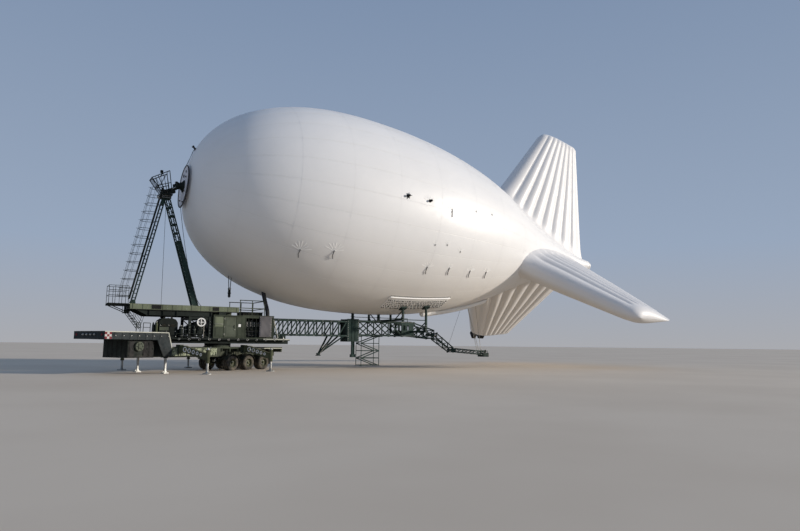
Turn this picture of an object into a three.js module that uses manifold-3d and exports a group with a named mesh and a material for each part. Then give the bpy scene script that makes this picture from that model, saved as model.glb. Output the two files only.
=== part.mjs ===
// A moored aerostat: a tethered gas envelope with three inflated fins, locked by its nose to a mast
// and resting on a long boom, which turn together on a three-axle trailer.
// Millimetres. X runs aft along the envelope from its nose, port is -Y, Z is up from the ground.

import * as THREE from 'three';
import { mergeVertices } from 'three/addons/utils/BufferGeometryUtils.js';
import Module from 'manifold-3d';

const wasm = await Module();
wasm.setup();

// Envelope and fins
const HULL_RADIUS = 6400;
const HULL_LENGTH = 32970;
const HULL_WALL = 10;
const HULL_STATIONS = 14;
const HULL_SEGMENTS = 32;
const HULL_PITCH = THREE.MathUtils.degToRad(4.2);
const NOSE_HEIGHT = 10715;
const BLUNT_LENGTH = 4.21 * HULL_RADIUS;
const WIDEST = 0.365 * BLUNT_LENGTH;
const CONE_START = 3.5 * HULL_RADIUS;
const TAIL_RADIUS = 407;
const TAIL_SLOPE = -0.1;
const FIN_DROOP = 32;
const FIN_ROLL = THREE.MathUtils.degToRad(-2.5);
const FIN_TUBES = 8;

// Turning deck, mast and boom
const SLEW_X = 2269;
const RING_RADIUS = 727;
const DECK_TOP = 1804;
const DECK_HALF = 1164;
const HOUSE_TOP = 3103;
const FRAME_TOP = 3568;
const MAST_TOP = 9745;
const BOOM_HALF = 436;

// Trailer, in its own frame: its slewing centre is at 0, its front is -X
const TRAILER_YAW = THREE.MathUtils.degToRad(28);
const BED_TOP = 1309;
const NECK_TOP = 2056;
const TRAILER_HALF = 1212;
const WHEEL_RADIUS = 417;
const WHEEL_SIDES = 14;
const AXLES = [120, 1360, 2600];
const ARM_HINGE = 1377;
const ARM_SPOTS = { front: -3693, rear: 826 };
const LEG_X = -4380;
const LEG_SPREAD = 1096;

// Space between pieces that touch, and between the envelope and what lies against it
const GAP = 0.5;
const CLEARANCE = 4;

const PAINT = {
  envelope: { color: 0xf1f0ec, roughness: 0.55, metalness: 0 },
  duct: { color: 0xf6f5f1, roughness: 0.5, metalness: 0 },
  green: { color: 0x4c5744, roughness: 0.6, metalness: 0.2 },
  boom: { color: 0x24352f, roughness: 0.55, metalness: 0.3 },
  dark: { color: 0x1c211e, roughness: 0.6, metalness: 0.3 },
  steel: { color: 0x8b8f8a, roughness: 0.4, metalness: 0.8 },
  white: { color: 0xdedfdb, roughness: 0.45, metalness: 0.1 },
  tyre: { color: 0x1b1b1a, roughness: 0.9, metalness: 0 },
  hose: { color: 0x22252b, roughness: 0.8, metalness: 0 },
};

// Solids

function vector(point) {
  return new THREE.Vector3(point[0], point[1], point[2]);
}

// Merges shared vertices and turns the faces outwards.
function closed(geometry) {
  const bare = geometry.clone();
  bare.deleteAttribute('normal');
  bare.deleteAttribute('uv');
  const merged = mergeVertices(bare, 0.01);
  const at = merged.attributes.position;
  const index = [];
  let volume = 0;
  for (let i = 0; i < merged.index.count; i += 3) {
    const [a, b, c] = [0, 1, 2].map((k) => merged.index.getX(i + k));
    if (a === b || b === c || c === a) continue;
    const corners = [a, b, c].map((k) => new THREE.Vector3().fromBufferAttribute(at, k));
    volume += corners[0].dot(corners[1].clone().cross(corners[2]));
    index.push(a, b, c);
  }
  merged.setIndex(volume > 0 ? index : index.reverse());
  return merged;
}

function toSolid(geometry) {
  const mesh = closed(geometry);
  return new wasm.Manifold(new wasm.Mesh({
    numProp: 3,
    vertProperties: new Float32Array(mesh.attributes.position.array),
    triVerts: new Uint32Array(mesh.index.array),
  }));
}

function toGeometry(solid) {
  const mesh = solid.getMesh();
  const geometry = new THREE.BufferGeometry();
  geometry.setAttribute('position', new THREE.BufferAttribute(new Float32Array(mesh.vertProperties), 3));
  geometry.setIndex(new THREE.BufferAttribute(new Uint32Array(mesh.triVerts), 1));
  return geometry;
}

function fuse(shapes) {
  return toGeometry(shapes.map(toSolid).reduce((whole, next) => whole.add(next)));
}

function cut(body, tools) {
  return toGeometry(tools.map(toSolid).reduce((rest, tool) => rest.subtract(tool), toSolid(body)));
}

// A box given by its low and high X, Y and Z.
function block(x, y, z) {
  const geometry = new THREE.BoxGeometry(x[1] - x[0], y[1] - y[0], z[1] - z[0]);
  return geometry.translate((x[0] + x[1]) / 2, (y[0] + y[1]) / 2, (z[0] + z[1]) / 2);
}

// A rectangular bar between two points: its width lies level, its height as upright as it can.
function bar(from, to, width, height = width) {
  const a = vector(from);
  const b = vector(to);
  const along = b.clone().sub(a);
  const up = Math.hypot(along.x, along.y) < 1 ? new THREE.Vector3(1, 0, 0) : new THREE.Vector3(0, 0, 1);
  const geometry = new THREE.BoxGeometry(width, height, along.length());
  geometry.applyMatrix4(new THREE.Matrix4().lookAt(b, a, up));
  const middle = a.add(b).multiplyScalar(0.5);
  return geometry.translate(middle.x, middle.y, middle.z);
}

function rod(from, to, radius, sides = 12) {
  const a = vector(from);
  const b = vector(to);
  const along = b.clone().sub(a);
  const geometry = new THREE.CylinderGeometry(radius, radius, along.length(), sides);
  const turn = new THREE.Quaternion().setFromUnitVectors(new THREE.Vector3(0, 1, 0), along.normalize());
  geometry.applyQuaternion(turn);
  const middle = a.add(b).multiplyScalar(0.5);
  return geometry.translate(middle.x, middle.y, middle.z);
}

// A turned shape about X; its outline is [distance along X, radius] pairs.
function turned(outline, segments) {
  const points = outline.map(([along, radius]) => new THREE.Vector2(radius, along));
  return new THREE.LatheGeometry(points, segments).rotateZ(-Math.PI / 2);
}

// The same shape turned about Y, for wheels, drums and sheaves.
function turnedAcross(outline, segments) {
  const points = outline.map(([along, radius]) => new THREE.Vector2(radius, along));
  return new THREE.LatheGeometry(points, segments);
}

// A flat outline of [x, z] points with holes in it, made thick along Y between two values.
function plate(outline, y, holes = []) {
  const prism = (points, [near, far]) => {
    const shape = new THREE.Shape(points.map(([x, z]) => new THREE.Vector2(x, z)));
    const geometry = new THREE.ExtrudeGeometry(shape, { depth: far - near, bevelEnabled: false });
    return geometry.rotateX(Math.PI / 2).translate(0, far, 0);
  };
  const whole = prism(outline, y);
  if (!holes.length) return whole;
  return cut(whole, holes.map((hole) => prism(hole, [y[0] - 10, y[1] + 10])));
}

// A triangle's corners moved inwards so that each side steps in by its own inset.
function insetTriangle(corners, insets) {
  const lines = corners.map((from, i) => {
    const to = corners[(i + 1) % 3];
    const opposite = corners[(i + 2) % 3];
    const length = Math.hypot(to[0] - from[0], to[1] - from[1]);
    let normal = [-(to[1] - from[1]) / length, (to[0] - from[0]) / length];
    const side = normal[0] * (opposite[0] - from[0]) + normal[1] * (opposite[1] - from[1]);
    if (side < 0) normal = [-normal[0], -normal[1]];
    return { normal, reach: normal[0] * from[0] + normal[1] * from[1] + insets[i] };
  });
  return corners.map((corner, i) => {
    const [a, b] = [lines[(i + 2) % 3], lines[i]];
    const det = a.normal[0] * b.normal[1] - a.normal[1] * b.normal[0];
    return [
      (a.reach * b.normal[1] - b.reach * a.normal[1]) / det,
      (a.normal[0] * b.reach - b.normal[0] * a.reach) / det,
    ];
  });
}

// The holes of a braced bay; corners are low near, low far, high far, high near.
// rail and web are half the widths of the rails and of the braces.
function bracedBay([a, b, c, d], crossed, rail, web) {
  if (!crossed) {
    return [insetTriangle([a, b, c], [rail, web, web]), insetTriangle([a, c, d], [web, rail, web])];
  }
  const middle = [0, 1].map((k) => (a[k] + b[k] + c[k] + d[k]) / 4);
  return [
    insetTriangle([a, b, middle], [rail, web, web]),
    insetTriangle([b, c, middle], [web, web, web]),
    insetTriangle([c, d, middle], [rail, web, web]),
    insetTriangle([d, a, middle], [web, web, web]),
  ];
}

// A round hole's corners
function ring(x, z, radius, sides) {
  return Array.from({ length: sides }, (unused, i) => {
    const angle = 2 * Math.PI * (i + 0.5) / sides;
    return [x + radius * Math.cos(angle), z + radius * Math.sin(angle)];
  });
}

// Scene graph: aerostat and upper works in the model's frame, trailer in its own

const model = new THREE.Group();
const aerostat = new THREE.Group();
aerostat.position.set(0, 0, NOSE_HEIGHT);
aerostat.rotation.y = HULL_PITCH;
const upperWorks = new THREE.Group();
const trailer = new THREE.Group();
trailer.position.set(SLEW_X, 0, 0);
trailer.rotation.z = TRAILER_YAW;
model.add(aerostat, upperWorks, trailer);

function piece(group, name, geometry, paint) {
  const mesh = new THREE.Mesh(closed(geometry), new THREE.MeshStandardMaterial(PAINT[paint]));
  mesh.name = name;
  group.add(mesh);
}

// Hull outline

function bluntRadius(along) {
  if (along < WIDEST) {
    return HULL_RADIUS * (1 - ((WIDEST - along) / WIDEST) ** 2.147) ** (1 / 2.437);
  }
  return HULL_RADIUS * (1 - ((along - WIDEST) / (BLUNT_LENGTH - WIDEST)) ** 2.038) ** 0.609;
}

// Past CONE_START a cubic carries the blunt body's radius and slope into the slender tail.
function hullRadius(along) {
  if (along < CONE_START) return bluntRadius(along);
  const span = HULL_LENGTH - CONE_START;
  const t = (along - CONE_START) / span;
  const slope = (bluntRadius(CONE_START) - bluntRadius(CONE_START - 10)) / 10;
  return bluntRadius(CONE_START) * (2 * t ** 3 - 3 * t ** 2 + 1)
    + slope * span * (t ** 3 - 2 * t ** 2 + t)
    + TAIL_RADIUS * (3 * t ** 2 - 2 * t ** 3)
    + TAIL_SLOPE * span * (t ** 3 - t ** 2);
}

// Points along the hull, closer together at its ends, moved square to the skin by an offset.
function hullOutline(stations, offset, first = 60) {
  const outline = [];
  for (let i = 0; i <= stations; i += 1) {
    const share = (1 - Math.cos(Math.PI * i / stations)) / 2;
    const along = first + (HULL_LENGTH - first) * share;
    const slope = (hullRadius(along + 1) - hullRadius(along - 1)) / 2;
    const length = Math.hypot(slope, 1);
    const radius = hullRadius(along);
    outline.push([along - offset * slope / length, radius + offset / length]);
  }
  return outline;
}

function hullClearance(offset = CLEARANCE) {
  const outline = hullOutline(HULL_STATIONS, offset);
  const [first, last] = [outline[0], outline[outline.length - 1]];
  return turned([[first[0] - 60, 0], ...outline, [last[0] + 60, 0]], HULL_SEGMENTS);
}

// Aerostat

function envelope() {
  const outer = hullOutline(HULL_STATIONS, 0);
  const inner = hullOutline(HULL_STATIONS, -HULL_WALL).reverse();
  return turned([...outer, ...inner, outer[0]], HULL_SEGMENTS);
}

// Chord stations of a fin: a thick leading tube, then equal tubes; share is how far into its tube.
function finStations() {
  const stations = [];
  const leading = 0.17;
  const steps = 4;
  for (let k = 0; k < steps; k += 1) stations.push([leading * (k / steps) ** 2, k / steps]);
  for (let tube = 0; tube < FIN_TUBES - 1; tube += 1) {
    for (let k = 0; k < 2; k += 1) {
      const width = (1 - leading) / (FIN_TUBES - 1);
      stations.push([leading + width * (tube + k / 2), k / 2]);
    }
  }
  stations.push([1, 0]);
  return stations;
}

// Half thickness as a share of the fin's thickness: an aerofoil that is fullest at three tenths.
function aerofoil(x) {
  const full = 1.4845 * Math.sqrt(x) - 0.63 * x - 1.758 * x ** 2 + 1.4215 * x ** 3 - 0.5075 * x ** 4;
  return Math.max(full, 0);
}

// Columns: radius from the hull's axis, share of the chord kept, thickness at the fullest point.
const FIN_SECTIONS = [
  [0.05, 1, 2230],
  [0.85, 1, 1988],
  [1.45, 1, 1420],
  [1.59, 0.98, 1160],
  [1.66, 0.9, 460],
];
const FIN_LEADING = { along: 3.75, radius: 0.85, rake: 0.6 / 0.81 };
const FIN_TRAILING = { along: 5.04, radius: 0.22, rake: -0.07 / 1.36 };
const FIN_EDGE = 60;

function finEdge(edge, radius) {
  return (edge.along + (radius - edge.radius) * edge.rake) * HULL_RADIUS;
}

// A fin standing up from the axis in the XZ plane, its skin moved in by inset.
function finSolid(inset) {
  const stations = finStations();
  const count = stations.length;
  const positions = [];
  FIN_SECTIONS.forEach(([radius, keep, thickness], row) => {
    const lead = finEdge(FIN_LEADING, radius);
    const trail = finEdge(FIN_TRAILING, radius);
    const middle = (lead + trail) / 2;
    const half = (trail - lead) / 2 * keep - inset;
    const ends = row === 0 ? 0 : inset;
    for (const side of [1, -1]) {
      for (const [x, share] of stations) {
        const lobe = 0.88 + 0.12 * Math.sin(Math.PI * share);
        const edge = Math.min(FIN_EDGE, thickness * 0.2) * Math.min(1, x * 40);
        const deep = Math.max(thickness * aerofoil(x) * lobe, edge) - inset * Math.min(1, x * 400);
        positions.push(middle + (2 * x - 1) * half, side * deep, radius * HULL_RADIUS - ends);
      }
    }
  });
  const at = (row, side, k) => (row * 2 + side) * count + k;
  const index = [];
  const quad = (a, b, c, d) => index.push(a, b, c, a, c, d);
  const last = FIN_SECTIONS.length - 1;
  for (let k = 0; k < count - 1; k += 1) {
    for (let row = 0; row < last; row += 1) {
      quad(at(row, 0, k), at(row + 1, 0, k), at(row + 1, 0, k + 1), at(row, 0, k + 1));
      quad(at(row, 1, k), at(row, 1, k + 1), at(row + 1, 1, k + 1), at(row + 1, 1, k));
    }
    quad(at(0, 0, k), at(0, 0, k + 1), at(0, 1, k + 1), at(0, 1, k));
    quad(at(last, 0, k), at(last, 1, k), at(last, 1, k + 1), at(last, 0, k + 1));
  }
  for (let row = 0; row < last; row += 1) {
    quad(at(row, 0, count - 1), at(row + 1, 0, count - 1), at(row + 1, 1, count - 1), at(row, 1, count - 1));
  }
  const geometry = new THREE.BufferGeometry();
  geometry.setAttribute('position', new THREE.BufferAttribute(new Float32Array(positions), 3));
  geometry.setIndex(index);
  return geometry;
}

function fin(tilt) {
  const inner = finSolid(HULL_WALL);
  const skin = cut(finSolid(0), [inner.translate(0, 0, -1)]);
  return cut(skin.rotateX(tilt), [hullClearance()]);
}

// Hoop, membrane and hub on the nose, a little below the axis, where the mast's lock takes hold
const HUB_DROP = 240;
function noseDish() {
  const [rim, inner] = [1260, 1180];
  const dish = turned([
    [-320, 0], [-320, 200], [-190, 260], [-120, 420], [-105, inner], [-130, inner], [-130, rim],
    [-40, rim], [-40, inner], [-75, inner], [-70, 300], [-10, 300], [-10, 0],
  ], 26);
  return cut(dish.translate(0, 0, -HUB_DROP), [hullClearance()]);
}

function tailCap() {
  const back = HULL_LENGTH + CLEARANCE + 1;
  return turned([
    [back, 0], [back, 320], [back + 60, 388], [back + 233, 320], [back + 349, 165], [back + 388, 0],
  ], 16);
}

// White air duct under the after body, a bent tube along the keel
function keelDuct() {
  const points = [16291, 17745, 19200, 20655, 22109].map((along) => (
    new THREE.Vector3(along, -485, -hullRadius(along) - 60)
  ));
  const circle = new THREE.Shape().absarc(0, 0, 204, 0, 2 * Math.PI);
  const path = new THREE.CatmullRomCurve3(points);
  const tube = new THREE.ExtrudeGeometry(circle, { steps: 10, curveSegments: 5, extrudePath: path });
  return cut(tube, [hullClearance()]);
}

// Laced cover of the payload bay, a shallow bulge low on the port side
const COVER_SWELL = 70;
function payloadCover() {
  const [from, to] = [12150, 17000];
  const outline = [from, from + 339, to - 339, to].map((along, i) => {
    const swell = i === 0 || i === 3 ? COVER_SWELL / 3 : COVER_SWELL;
    return [along, hullRadius(along) + swell];
  });
  const bulge = turned([[from, 0], ...outline, [to, 0]], HULL_SEGMENTS);
  const reach = 8727;
  const sector = new THREE.Shape([0, 1.57, 2.9].map((slope) => (
    new THREE.Vector2(slope ? -reach : 0, -reach * slope)
  )));
  const wedge = new THREE.ExtrudeGeometry(sector, { depth: to - from + 194, bevelEnabled: false });
  const basis = new THREE.Matrix4().makeBasis(
    new THREE.Vector3(0, 1, 0), new THREE.Vector3(0, 0, 1), new THREE.Vector3(1, 0, 0),
  );
  wedge.applyMatrix4(basis).translate(from - 97, 0, 0);
  const patch = toSolid(bulge).intersect(toSolid(wedge));
  return cut(toGeometry(patch), [hullClearance()]);
}

piece(aerostat, 'envelope', envelope(), 'envelope');
piece(aerostat, 'fin_upper', fin(FIN_ROLL), 'envelope');
piece(aerostat, 'fin_port', fin(THREE.MathUtils.degToRad(90 + FIN_DROOP) + FIN_ROLL), 'envelope');
piece(aerostat, 'fin_starboard', fin(THREE.MathUtils.degToRad(-90 - FIN_DROOP) + FIN_ROLL), 'envelope');
piece(aerostat, 'nose_dish', noseDish(), 'white');
piece(aerostat, 'tail_cap', tailCap(), 'white');
piece(aerostat, 'keel_duct', keelDuct(), 'duct');
piece(aerostat, 'payload_cover', payloadCover(), 'duct');

// The hull's clearance shape in the model's frame, to trim what rises to the belly
function bellyTool(offset = CLEARANCE) {
  return hullClearance(offset).rotateY(HULL_PITCH).translate(0, 0, NOSE_HEIGHT);
}

// Swivel that hangs from the belly, where the flying tether is taken off
function tetherSwivel() {
  const [x, top, eye, low] = [2812, 6012, 4722, 4238];
  const whole = fuse([
    rod([x - 107, 0, top], [x - 40, 0, eye], 22, 8),
    rod([x + 107, 0, top], [x + 40, 0, eye], 22, 8),
    rod([x, -107, eye], [x, 107, eye], 60, 8),
    rod([x, 0, low], [x, 0, eye], 75, 10),
    rod([x, 0, low + 194], [x, 0, low + 252], 97, 10),
  ]);
  return cut(whole, [bellyTool()]);
}
piece(upperWorks, 'tether_swivel', tetherSwivel(), 'dark');

// Hose from the belly to its inlet on the house roof
function supplyHose() {
  const path = new THREE.CatmullRomCurve3([
    [4635, -485, 5042], [4693, -485, 4655], [4829, -485, 4073], [4975, -485, 3568], [5023, -485, 3132],
  ].map(vector));
  const circle = new THREE.Shape().absarc(0, 0, 126, 0, 2 * Math.PI);
  const tube = new THREE.ExtrudeGeometry(circle, { steps: 12, curveSegments: 5, extrudePath: path });
  return cut(tube, [bellyTool(), block([4752, 5285], [-873, -97], [2909, HOUSE_TOP + 40])]);
}
piece(upperWorks, 'supply_hose', supplyHose(), 'hose');

// Turning deck

function slewDeck() {
  const [front, back] = [-1358, 6206];
  const shapes = [
    block([front, back], [-DECK_HALF, DECK_HALF], [DECK_TOP - 80, DECK_TOP]),
    rod([SLEW_X, 0, 1402], [SLEW_X, 0, DECK_TOP - 40], RING_RADIUS, 24),
  ];
  for (const y of [-795, 795]) {
    shapes.push(block([front, back], [y - 90, y + 90], [1513, DECK_TOP - 40]));
  }
  for (const x of [front + 60, 679, 3879, back - 60]) {
    shapes.push(block([x - 60, x + 60], [-795, 795], [1552, DECK_TOP - 40]));
  }
  return fuse(shapes);
}

// Raised frame that carries the mast: two long side beams, cross beams and a floor plate
function upperFrame() {
  const [front, back] = [-2667, 3103];
  const shapes = [block([front + 20, 1164], [-DECK_HALF + 97, DECK_HALF - 97], [3491, 3539])];
  for (const side of [-1, 1]) {
    const [outer, inner] = [side * DECK_HALF, side * (DECK_HALF - 272)];
    const y = [Math.min(outer, inner), Math.max(outer, inner)];
    shapes.push(block([front, back], y, [3297, FRAME_TOP]));
    const web = [[front + 194, 3316], [front + 873, 2987], [1629, 2987], [1629, 3316]];
    const webY = [Math.min(side * 1047, side * 970), Math.max(side * 1047, side * 970)];
    shapes.push(plate(web, webY));
    shapes.push(block([1988, 2376], y, [HOUSE_TOP + GAP, 3316]));
  }
  for (const x of [front + 97, -1164, 291, 1455, back - 97]) {
    shapes.push(block([x - 70, x + 70], [-1067, 1067], [3316, 3530]));
  }
  return fuse(shapes);
}

const WINCH = { x: 1008, z: 2327, posts: [436, 1532], y: 1008 };
const SHEAVE = [1008, -1222, 2676];

// Four posts with braces between the deck and the raised frame, round the winch
function winchTower() {
  const shapes = [];
  const [low, high] = [DECK_TOP + GAP, 2987 - GAP];
  const [near, far] = WINCH.posts;
  for (const y of [-WINCH.y, WINCH.y]) {
    for (const x of WINCH.posts) shapes.push(block([x - 70, x + 70], [y - 70, y + 70], [low, high]));
    shapes.push(block([near, far], [y - 40, y + 40], [2832, 2967]));
    shapes.push(bar([near, y, 2376], [far, y, 2909], 70));
    shapes.push(block([near, far], [y - 40, y + 40], [1842, 1920]));
    shapes.push(block([873, 1144], [y - 30, y + 30], [1881, 2444]));
  }
  for (const x of WINCH.posts) shapes.push(block([x - 50, x + 50], [-WINCH.y, WINCH.y], [2851, 2948]));
  const whole = fuse(shapes);
  return cut(whole, [rod([WINCH.x, -DECK_HALF, WINCH.z], [WINCH.x, DECK_HALF, WINCH.z], 62, 16)]);
}

function winchDrum() {
  const [half, flange] = [873, 60];
  return turnedAcross([
    [-half - 175, 0], [-half - 175, 55], [-half, 55], [-half, 388], [-half + flange, 388],
    [-half + flange, 252], [half - flange, 252], [half - flange, 388], [half, 388], [half, 55],
    [half + 175, 55], [half + 175, 0],
  ], 18).translate(WINCH.x, 0, WINCH.z);
}

function tetherSheave() {
  const rim = [
    [-50, 176], [-50, 240], [0, 214], [50, 240], [50, 176],
  ];
  const shapes = [turnedAcross([...rim, rim[0]], 16)];
  shapes.push(rod([0, -70, 0], [0, 70, 0], 45));
  for (const angle of [0, Math.PI / 2]) {
    const [x, z] = [190 * Math.cos(angle), 190 * Math.sin(angle)];
    shapes.push(bar([-x, 0, -z], [x, 0, z], 40, 40));
  }
  return fuse(shapes).translate(...SHEAVE);
}

// Bracket and pin that carry the sheave beside the port post
function sheaveBracket() {
  const [x, y, z] = SHEAVE;
  return fuse([
    block([x - 58, x + 59], [-1096, -1047 - GAP], [z - 194, z + 151]),
    rod([x, y + 70, z], [x, y + 155, z], 30),
  ]);
}

function powerUnit() {
  const [x, y, low, top] = [[-1115, -145], [-824, 436], DECK_TOP + GAP, 2861];
  const hood = [
    [x[0], low], [x[1], low], [x[1], top - 242], [x[1] - 116, top - 60], [x[1] - 310, top],
    [x[0] + 194, top], [x[0] + 40, top - 116], [x[0], top - 291],
  ];
  return plate(hood, y);
}

piece(upperWorks, 'slew_deck', slewDeck(), 'green');
piece(upperWorks, 'upper_frame', upperFrame(), 'green');
piece(upperWorks, 'winch_tower', winchTower(), 'dark');
piece(upperWorks, 'winch_drum', winchDrum(), 'dark');
piece(upperWorks, 'sheave_bracket', sheaveBracket(), 'dark');
piece(upperWorks, 'tether_sheave', tetherSheave(), 'white');
piece(upperWorks, 'power_unit', powerUnit(), 'dark');

// Control house with one door, and the open-sided bay behind it

const HOUSE = { x: [1697, 3345], y: [-DECK_HALF, DECK_HALF], z: [DECK_TOP + GAP, HOUSE_TOP], wall: 60 };
const DOOR = { x: [2308, 2987], z: [1901, 3016], gap: 6 };

function controlHouse() {
  const { x, y, z, wall } = HOUSE;
  const inside = block([x[0] + wall, x[1] - wall], [y[0] + wall, y[1] - wall], [z[0] + wall, z[1] - wall]);
  const doorway = block(DOOR.x, [y[0] - 10, y[0] + wall + 10], DOOR.z);
  return cut(block(x, y, z), [inside, doorway]);
}

function houseDoor() {
  const { x, z, gap } = DOOR;
  const thick = [HOUSE.y[0], HOUSE.y[0] + HOUSE.wall];
  const leaf = block([x[0] + gap, x[1] - gap], thick, [z[0] + gap, z[1] - gap]);
  const handle = block([x[1] - 116, x[1] - 90], [HOUSE.y[0] - 50, HOUSE.y[0]], [2376, 2570]);
  return fuse([leaf, handle]);
}

function equipmentBay() {
  const [front, back, wall] = [HOUSE.x[1] + GAP, 5188, 60];
  const [low, high] = [HOUSE.z[0], HOUSE_TOP];
  const whole = block([front, back], HOUSE.y, [low, high]);
  const half = DECK_HALF - wall;
  const room = block([front + wall, back - wall], [-half, half], [low + wall, high - wall]);
  const mouth = block([front + 194, back - 407], [-DECK_HALF - 10, 0], [low + wall, high - 126]);
  const inlet = rod([5023, -485, HOUSE_TOP - 20], [5023, -485, HOUSE_TOP + 39], 155, 16);
  return fuse([cut(whole, [room, mouth]), inlet]);
}

// Upright posts at [x, y] spots, from low to high.
function posts(spots, low, high, half) {
  return spots.map(([x, y]) => block([x - half, x + half], [y - half, y + half], [low, high]));
}

// Level rails at given heights round three sides: two along X, one across at the far end.
function railing([front, back], half, levels, thick) {
  const shapes = [];
  for (const z of levels) {
    for (const y of [-half, half]) {
      shapes.push(block([front, back + thick], [y - thick, y + thick], [z - thick, z + thick]));
    }
    shapes.push(block([back - thick, back + thick], [-half, half], [z - thick, z + thick]));
  }
  return shapes;
}

function roofRail() {
  const [front, back, low, high] = [3140, 4620, HOUSE_TOP + GAP, 3995];
  const spots = [front + 40, (front + back) / 2, back].flatMap((x) => [[x, -1115], [x, 1115]]);
  return fuse([...posts(spots, low, high, 18), ...railing([front, back], 1115, [3549, high], 22)]);
}

piece(upperWorks, 'control_house', controlHouse(), 'green');
piece(upperWorks, 'control_house_door', houseDoor(), 'green');
piece(upperWorks, 'equipment_bay', equipmentBay(), 'green');
piece(upperWorks, 'generator', block([3588, 4703], [-853, 853], [1867, 2812]), 'dark');
piece(upperWorks, 'roof_rail', roofRail(), 'green');

// Walkway ahead of the frame, and the stair below it

function frontWalkway() {
  const [tip, root] = [-3685, -2667 - GAP];
  const shapes = [block([tip, root], [-600, 600], [3491, 3549])];
  for (const y of [-580, 580]) {
    shapes.push(...posts([[tip + 30, y], [root - 30, y]], 3520, 4540, 18));
    for (const z of [4024, 4540]) shapes.push(block([tip + 8, root], [y - 22, y + 22], [z - 22, z + 22]));
  }
  for (const z of [4024, 4540]) shapes.push(block([tip + 8, tip + 52], [-580, 580], [z - 22, z + 22]));
  return fuse(shapes);
}

function frontStair() {
  const [top, foot] = [[-2676, 3295], [-2000, 2290]];
  const shapes = [];
  for (const y of [-388, 388]) {
    shapes.push(bar([top[0], y, top[1] - 116], [foot[0], y, foot[1]], 40, 194));
    shapes.push(block([-2773, -2579], [y - 60, y + 60], [3152, 3297 - GAP]));
  }
  for (let step = 0; step < 5; step += 1) {
    const share = 0.1 + step * 0.2;
    const [x, z] = [0, 1].map((k) => top[k] + (foot[k] - top[k]) * share);
    shapes.push(block([x - 107, x + 107], [-388, 388], [z - 116, z - 90]));
  }
  return fuse(shapes);
}

piece(upperWorks, 'front_walkway', frontWalkway(), 'dark');
piece(upperWorks, 'front_stair', frontStair(), 'dark');

// Mast

// A leaning side of a mast leg: a ladder of square holes above a plated part.
// half holds half the leg's depth at foot and head, plated the share of the height without holes.
function legSide(foot, head, half, plated, steps, rail, y) {
  const at = (share, side, inset) => {
    const deep = half[0] + (half[1] - half[0]) * share - inset;
    return [foot[0] + (head[0] - foot[0]) * share + side * deep, foot[1] + (head[1] - foot[1]) * share];
  };
  const holes = [];
  for (let step = 0; step < steps; step += 1) {
    const size = (1 - plated) / steps;
    const [low, high] = [plated + (step + 0.12) * size, plated + (step + 0.94) * size];
    holes.push([at(low, -1, rail), at(low, 1, rail), at(high, 1, rail), at(high, -1, rail)]);
  }
  return plate([at(0, -1, 0), at(0, 1, 0), at(1, 1, 0), at(1, -1, 0)], y, holes);
}

// Two such sides, wide apart on each side of the middle, with cross bars between them, on a foot plate.
function mastLeg(foot, head, half, wide, plated, steps, ties) {
  const thick = 45;
  const shapes = [-1, 1].map((side) => (
    legSide(foot, head, half, plated, steps, 38, side < 0 ? [-wide, -wide + thick] : [wide - thick, wide])
  ));
  for (let tie = 0; tie < ties; tie += 1) {
    const share = (tie + 0.5) / ties;
    const deep = half[0] + (half[1] - half[0]) * share - 20;
    const [x, z] = [0, 1].map((k) => foot[k] + (head[k] - foot[k]) * share);
    for (const side of [-1, 1]) {
      shapes.push(bar([x + side * deep, -wide + 20, z], [x + side * deep, wide - 20, z], 34));
    }
  }
  const edge = half[0] + 90;
  shapes.push(block([foot[0] - edge, foot[0] + edge], [-wide - 80, wide + 80], [foot[1], foot[1] + 40]));
  return fuse(shapes);
}

const FRONT_FOOT = [-2444, FRAME_TOP + GAP];
const FRONT_HEAD = [-1130, MAST_TOP - 126 - GAP];
const REAR_FOOT = [885, FRAME_TOP + GAP];
const REAR_HEAD = [-950, MAST_TOP - 126 - GAP];

// Climbing ladder ahead of the front leg, inside a cage of hoops
function mastLadder() {
  const lean = (FRONT_HEAD[0] - FRONT_FOOT[0]) / (FRONT_HEAD[1] - FRONT_FOOT[1]);
  const at = (out, y, z) => [FRONT_FOOT[0] - out + lean * (z - FRONT_FOOT[1]), y, z];
  const [low, high, thin, near, half, hoops] = [FRAME_TOP + 290, MAST_TOP + 560, 30, 225, 225, 6];
  const shapes = [];
  for (const y of [-half, half]) shapes.push(bar(at(near, y, low), at(near, y, high), 44));
  const hoop = [[near, -half], [520, -370], [850, 0], [520, 370], [near, half]];
  for (let i = 0; i < hoops; i += 1) {
    const z = low + 150 + (high - low - 300) * i / (hoops - 1);
    for (let k = 0; k < hoop.length - 1; k += 1) {
      shapes.push(bar(at(...hoop[k], z), at(...hoop[k + 1], z), thin, 40));
    }
    shapes.push(bar(at(near, -half, z), at(near, half, z), thin));
  }
  for (const [out, y] of hoop.slice(1, 4)) {
    shapes.push(bar(at(out, y, low + 140), at(out, y, high - 140), thin));
  }
  for (const z of [low + 900, high - 1300]) {
    for (const y of [-half, half]) shapes.push(bar(at(103, y, z), at(near, y, z), thin));
    shapes.push(bar(at(118, -half, z), at(118, half, z), thin));
  }
  return fuse(shapes);
}

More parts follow.
